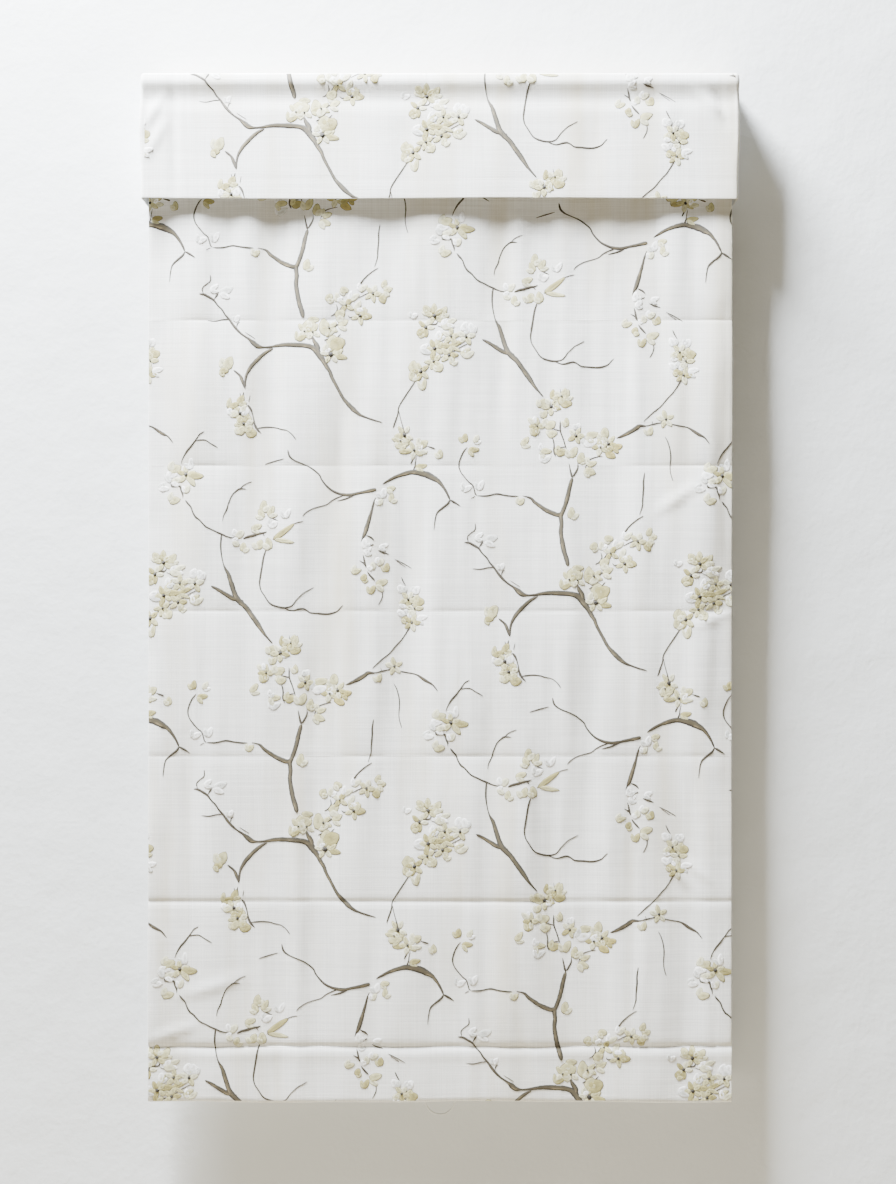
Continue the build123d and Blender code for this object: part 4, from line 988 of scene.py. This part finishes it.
    def pattern(self, shiftX, shiftZ, rng, flowers):
        for i in range(-4, 5):
            for j in range(-4, 5):
                dx = shiftX + i * repeats[0][0] + j * repeats[1][0]
                dz = shiftZ + i * repeats[0][1] + j * repeats[1][1]
                left, right, low, high = self.box
                if dx - 440 > right or dx + 45 < left or dz - 1300 > high or dz - 500 < low:
                    continue
                if not flowers:
                    for points in branches:
                        self.branch(points, dx, dz, rng)
                    continue
                for x, z, long, wide, angle, name in allPetals:
                    self.petal(x + dx, z + dz, long, wide, angle, name, rng)
                for x, z, radius in centres:
                    self.centre(x + dx, z + dz, radius, rng)

    def trimmed(self, low, high):
        # a copy of what was gathered, cut off at the cloth's edges
        left, right = self.box[0] * 0.001, self.box[1] * 0.001
        bm = self.bm.copy()
        for spot, way in (((left, 0, 0), (-1, 0, 0)), ((right, 0, 0), (1, 0, 0)),
            ((0, 0, low), (0, 0, -1)), ((0, 0, high), (0, 0, 1))):
            geom = bm.verts[:] + bm.edges[:] + bm.faces[:]
            bmesh.ops.bisect_plane(bm, geom=geom, dist=1e-7, plane_co=spot, plane_no=way, clear_outer=True)
        bm.normal_update()
        flip = [f for f in bm.faces if f.normal.y > 0]
        bmesh.ops.reverse_faces(bm, faces=flip)
        return bm


rng = random.Random(7)
allPetals = fullFlowers(rng)
faceBox, valanceBox = (-456.2, 456.2, -1549, 0.5), (-459.5, 459.5, -139.2, 53.5)
for kind, flowers in (("Branches", False), ("Flowers", True)):
    work = Stitching(facePoint, faceBox)
    work.pattern(0, 0, rng, flowers)
    onFace = meshPiece("face" + kind, work.trimmed(shade["hemLine"], 0.0005), [thread.material], "root")
    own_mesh(onFace)
    onHem = meshPiece("hem" + kind, work.trimmed(-1.549, shade["hemLine"]), [thread.material], "bar")
    work = Stitching(valancePoint, valanceBox)
    work.pattern(-2, 1113, rng, flowers)
    onValance = meshPiece("valance" + kind, work.trimmed(-0.1392, 0.0535), [thread.material], "root")
    for p in (onFace, onHem, onValance):
        print(p.name, len(p.data.polygons))


# ---- sewing --------------------------------------------------------------------

def sewnRow(bm, point, a, b, pitch, length, thick):
    # one low stitch after another, each a small pointed bar
    (ax, az), (bx, bz) = a, b
    total = math.hypot(bx - ax, bz - az)
    ux, uz = (bx - ax) / total, (bz - az) / total
    for k in range(int(total / pitch)):
        s = (k + 0.5) * pitch
        x, z = ax + ux * s, az + uz * s
        tip = [bm.verts.new(point(x + ux * d, z + uz * d, 0.0)) for d in (-length / 2, length / 2)]
        low = [bm.verts.new(point(x - uz * d, z + ux * d, 0.0)) for d in (-thick / 2, thick / 2)]
        top = bm.verts.new(point(x, z, thick * 0.6))
        for p, q in ((tip[0], low[0]), (low[0], tip[1]), (tip[1], low[1]), (low[1], tip[0])):
            bm.faces.new((p, q, top))
    return bm


seams = {"pitch": 0.0040, "length": 0.0026, "thick": 0.0006, "sideX": 0.429}
faceSeams = bmesh.new()
for z in ribLines:
    sewnRow(faceSeams, facePoint, (-0.452, z), (0.452, z), seams["pitch"], seams["length"], seams["thick"])
for x in (-seams["sideX"], seams["sideX"]):
    sewnRow(faceSeams, facePoint, (x, -0.004), (x, shade["hemLine"] + 0.004), 0.0065, 0.0018, 0.0005)
outward(faceSeams, (0, -1, 0))
faceSewing = meshPiece("faceSewing", faceSeams, [sewing.material], "root")
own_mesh(faceSewing)
hemSeams = bmesh.new()
sewnRow(hemSeams, facePoint, (-0.455, shade["hemLine"] - 0.0012), (0.455, shade["hemLine"] - 0.0012),
    0.0034, 0.0024, 0.0007)
outward(hemSeams, (0, -1, 0))
meshPiece("hemSewing", hemSeams, [sewing.material], "bar")


# ---- rib sleeves ---------------------------------------------------------------

sleeve = {"rodY": -0.0469, "radius": 0.0022, "flat": -0.0492, "halfHigh": 0.006, "half": 0.447}


def ribSleeve(index, middle):
    # a flat tape with a round channel for the rod along its middle
    s = sleeve
    profile = [(s["flat"] + 0.0006, s["halfHigh"]), (s["flat"] + 0.0008, 0.0040),
        (s["flat"] + 0.0010, 0.0030)]
    for k in range(9):
        a = math.pi * (0.5 - k / 8)
        profile.append((s["rodY"] + s["radius"] * math.cos(a), (s["radius"] + 0.0001) * math.sin(a)))
    profile += [(s["flat"] + 0.0010, -0.0030), (s["flat"] + 0.0008, -0.0040),
        (s["flat"] + 0.0006, -s["halfHigh"])]
    back = [(s["flat"], -s["halfHigh"]), (s["flat"], 0.0), (s["flat"], s["halfHigh"])]
    ring = profile + back
    bm = bmesh.new()
    uv = bm.loops.layers.uv.verify()
    columns = spread(-s["half"], s["half"], 0.012)
    rows = []
    for x in columns:
        soft = 0.00025 * noise.noise((x * 30, index, 0))
        follow = 0.0011 * (1 - smooth(0.41, 0.42, abs(x)))
        follow += max(0.0, min(faceRelief(x, middle + 0.006 * k) for k in range(-9, 10)) - 0.0002)
        rows.append([bm.verts.new((x, y - follow * (y < s["flat"] + 0.0011),
            middle + z + soft * (abs(z) > 0.003))) for y, z in ring])
    for i, (a, b) in enumerate(zip(rows, rows[1:])):
        for k in range(len(ring)):
            n = (k + 1) % len(ring)
            face = bm.faces.new((a[k], a[n], b[n], b[k]))
            for loop, (c, d) in zip(face.loops, ((i, k), (i, n), (i + 1, n), (i + 1, k))):
                loop[uv].uv = (columns[c], d * 0.001)
    bm.faces.new(rows[0])
    bm.faces.new(list(reversed(rows[-1])))
    bmesh.ops.recalc_face_normals(bm, faces=bm.faces)
    return bm


for index, middle in enumerate(reversed(ribLines), start=1):
    body = f"rib_body_{index}"
    low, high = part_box(f"rib_tape_{index}")
    tape = meshPiece(f"ribSleeve{index}", ribSleeve(index, (low.z + high.z) / 2), [ribbon.material], body)
    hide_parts(f"rib_tape_{index}")
print("sleeves made")


# ---- cords and pull tab --------------------------------------------------------

cord = {"radius": 0.0007, "y": -0.0388, "end": -1.4774, "spoolY": -0.0298, "spoolZ": 0.017, "wrap": 0.009,
    "columns": (-0.36, 0.0, 0.36)}


def tube(bm, points, radius, sides=8):
    uv = bm.loops.layers.uv.verify()
    rings, along = [], 0.0
    for k, p in enumerate(points):
        p = Vector(p)
        ahead = Vector(points[min(k + 1, len(points) - 1)]) - Vector(points[max(k - 1, 0)])
        ahead.normalize()
        side = ahead.cross(Vector((1, 0, 0)))
        side.normalize()
        other = ahead.cross(side)
        if k:
            along += (p - Vector(points[k - 1])).length
        ring = [bm.verts.new(p + (side * math.cos(a) + other * math.sin(a)) * radius)
            for a in (2 * math.pi * s / sides for s in range(sides))]
        rings.append((ring, along))
    for (a, sa), (b, sb) in zip(rings, rings[1:]):
        for k in range(sides):
            n = (k + 1) % sides
            face = bm.faces.new((a[k], a[n], b[n], b[k]))
            turn = 2 * math.pi * radius / sides
            for loop, at in zip(face.loops, ((k * turn, sa), ((k + 1) * turn, sa), ((k + 1) * turn, sb),
                (k * turn, sb))):
                loop[uv].uv = at
    bm.faces.new(rings[0][0])
    bm.faces.new(list(reversed(rings[-1][0])))
    bmesh.ops.recalc_face_normals(bm, faces=bm.faces)


for name, x in zip(("left", "centre", "right"), cord["columns"]):
    bm = bmesh.new()
    tube(bm, [(x, cord["y"], z) for z in spread(shade["anchor"], cord["end"], 0.02)], cord["radius"])
    hung = meshPiece(f"liftCord_{name}", bm, [braid.material], "root")
    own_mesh(hung)
    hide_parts(f"lift_cord_{name}")
    bm = bmesh.new()
    wound = [(x, cord["y"], z) for z in (shade["anchor"], 0.006, 0.011)]
    for k in range(26):
        a = math.pi + k * math.radians(10)
        wound.append((x + 0.00001 * k, cord["spoolY"] + cord["wrap"] * math.cos(a),
            cord["spoolZ"] - cord["wrap"] * math.sin(a)))
    tube(bm, wound, cord["radius"])
    turnPiece = meshPiece(f"cordWrap_{name}", bm, [braid.material], "root")
    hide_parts(f"lift_cord_{name}")


def pullTab():
    # a narrow tape folded through the ring and sewn to the back of the pocket
    low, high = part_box("pull_tab")
    halfWide = (high.x - low.x) / 2
    loopY, loopZ, reach = -0.0412, -1.5279, 0.0029
    back, front = -0.0440, -0.0430
    path = [(back, high.z), (back, high.z - 0.008), (back, loopZ + 0.006), (loopY - reach, loopZ + 0.002)]
    path += [(loopY - reach * math.cos(a), loopZ - reach * math.sin(a)) for a in (0.5, 1.0, 1.57, 2.1, 2.6)]
    path += [(loopY + reach, loopZ + 0.002), (front, loopZ + 0.006), (front, high.z - 0.008),
        (front, high.z)]
    bm = bmesh.new()
    rows = [[(x, y, z) for x in spread(-halfWide, halfWide, 0.0016)] for y, z in path]
    sheetGrid(bm, rows)
    bmesh.ops.recalc_face_normals(bm, faces=bm.faces)
    return bm


tabPiece = meshPiece("pullTabTape", pullTab(), [ribbon.material], "bar")
tabSolid = thicken(tabPiece, 0.0005)
tabSolid.offset = 0.0
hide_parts("pull_tab")
print("cords and tab made")


# ---- stage, light and camera ---------------------------------------------------

stage = {"wallY": 0.0006, "wallHalf": 2.4, "wallHigh": 1.4, "floorZ": -2.4, "floorReach": 4.5}
wallFinish = Finish("plasterWall", tone(234, 238, 241), 0.85)
wallFinish.shade(wallFinish.level(wallFinish.cloud(2.2), 0.3, 0.7, 0.985, 1.01))
wallFinish.bump(wallFinish.cloud(120.0, (1, 1, 1), 4.0), 0.0012, 0.35)
wallFinish.bump(wallFinish.cloud(9.0, (1, 1, 1), 3.0), 0.012, 0.25)
geometry = wallFinish.nodes.new("ShaderNodeNewGeometry")
seeThrough = wallFinish.nodes.new("ShaderNodeBsdfTransparent")
chooser = wallFinish.nodes.new("ShaderNodeMixShader")
wallFinish.join(geometry, "Backfacing", chooser, 0)
wallFinish.links.new(wallFinish.shader.outputs[0], chooser.inputs[1])
wallFinish.links.new(seeThrough.outputs[0], chooser.inputs[2])
wallFinish.links.new(chooser.outputs[0], wallFinish.nodes["Material Output"].inputs["Surface"])
floorFinish = Finish("paleFloor", tone(172, 160, 138), 0.8)


def plane(name, corners, finish):
    mesh = bpy.data.meshes.new(name)
    mesh.from_pydata(corners, [], [(0, 1, 2, 3)])
    mesh.materials.append(finish.material)
    piece = bpy.data.objects.new(name, mesh)
    bpy.context.scene.collection.objects.link(piece)
    return piece


w, y = stage["wallHalf"], stage["wallY"]
plane("wall", [(-w, y, stage["floorZ"]), (w, y, stage["floorZ"]), (w, y, stage["wallHigh"]),
    (-w, y, stage["wallHigh"])], wallFinish)
r = stage["floorReach"]
plane("floor", [(-r, -r, stage["floorZ"]), (r, -r, stage["floorZ"]), (r, r, stage["floorZ"]),
    (-r, r, stage["floorZ"])], floorFinish)


def areaLight(name, place, aim, size, power, colour=(1, 1, 1), sizeY=None):
    data = bpy.data.lights.new(name, "AREA")
    data.energy = power
    data.size = size
    if sizeY:
        data.shape = "RECTANGLE"
        data.size_y = sizeY
    data.color = colour
    lamp = bpy.data.objects.new(name, data)
    bpy.context.scene.collection.objects.link(lamp)
    lamp.location = place
    lamp.rotation_mode = "QUATERNION"
    lamp.rotation_quaternion = (Vector(aim) - Vector(place)).to_track_quat("-Z", "Y")
    return lamp


areaLight("keyLight", (-1.1, -0.8, 2.15), (0.1, 0, -0.8), 0.95, 1230, (0.94, 0.975, 1.0))
areaLight("fillLight", (-2.2, -2.6, 0.6), (0, 0, -0.9), 2.0, 8, (0.98, 0.99, 1.0))
backLight = areaLight("backLight", (0, -0.001, -0.75), (0, -1, -0.75), 0.7, 1.3, (1, 1, 1), 1.3)
backLight.visible_camera = False

world = bpy.data.worlds.new("softWorld")
bpy.context.scene.world = world
world.use_nodes = True
world.node_tree.nodes["Background"].inputs["Color"].default_value = (1.0, 0.85, 0.62, 1)
world.node_tree.nodes["Background"].inputs["Strength"].default_value = 0.1

cameraData = bpy.data.cameras.new("camera")
cameraData.lens = 50
cameraData.sensor_width = 36
camera = bpy.data.objects.new("camera", cameraData)
camera.location = (0.0125, -2.630, -0.7526)
camera.rotation_euler = (math.radians(90), 0, 0)
bpy.context.scene.collection.objects.link(camera)
bpy.context.scene.camera = camera
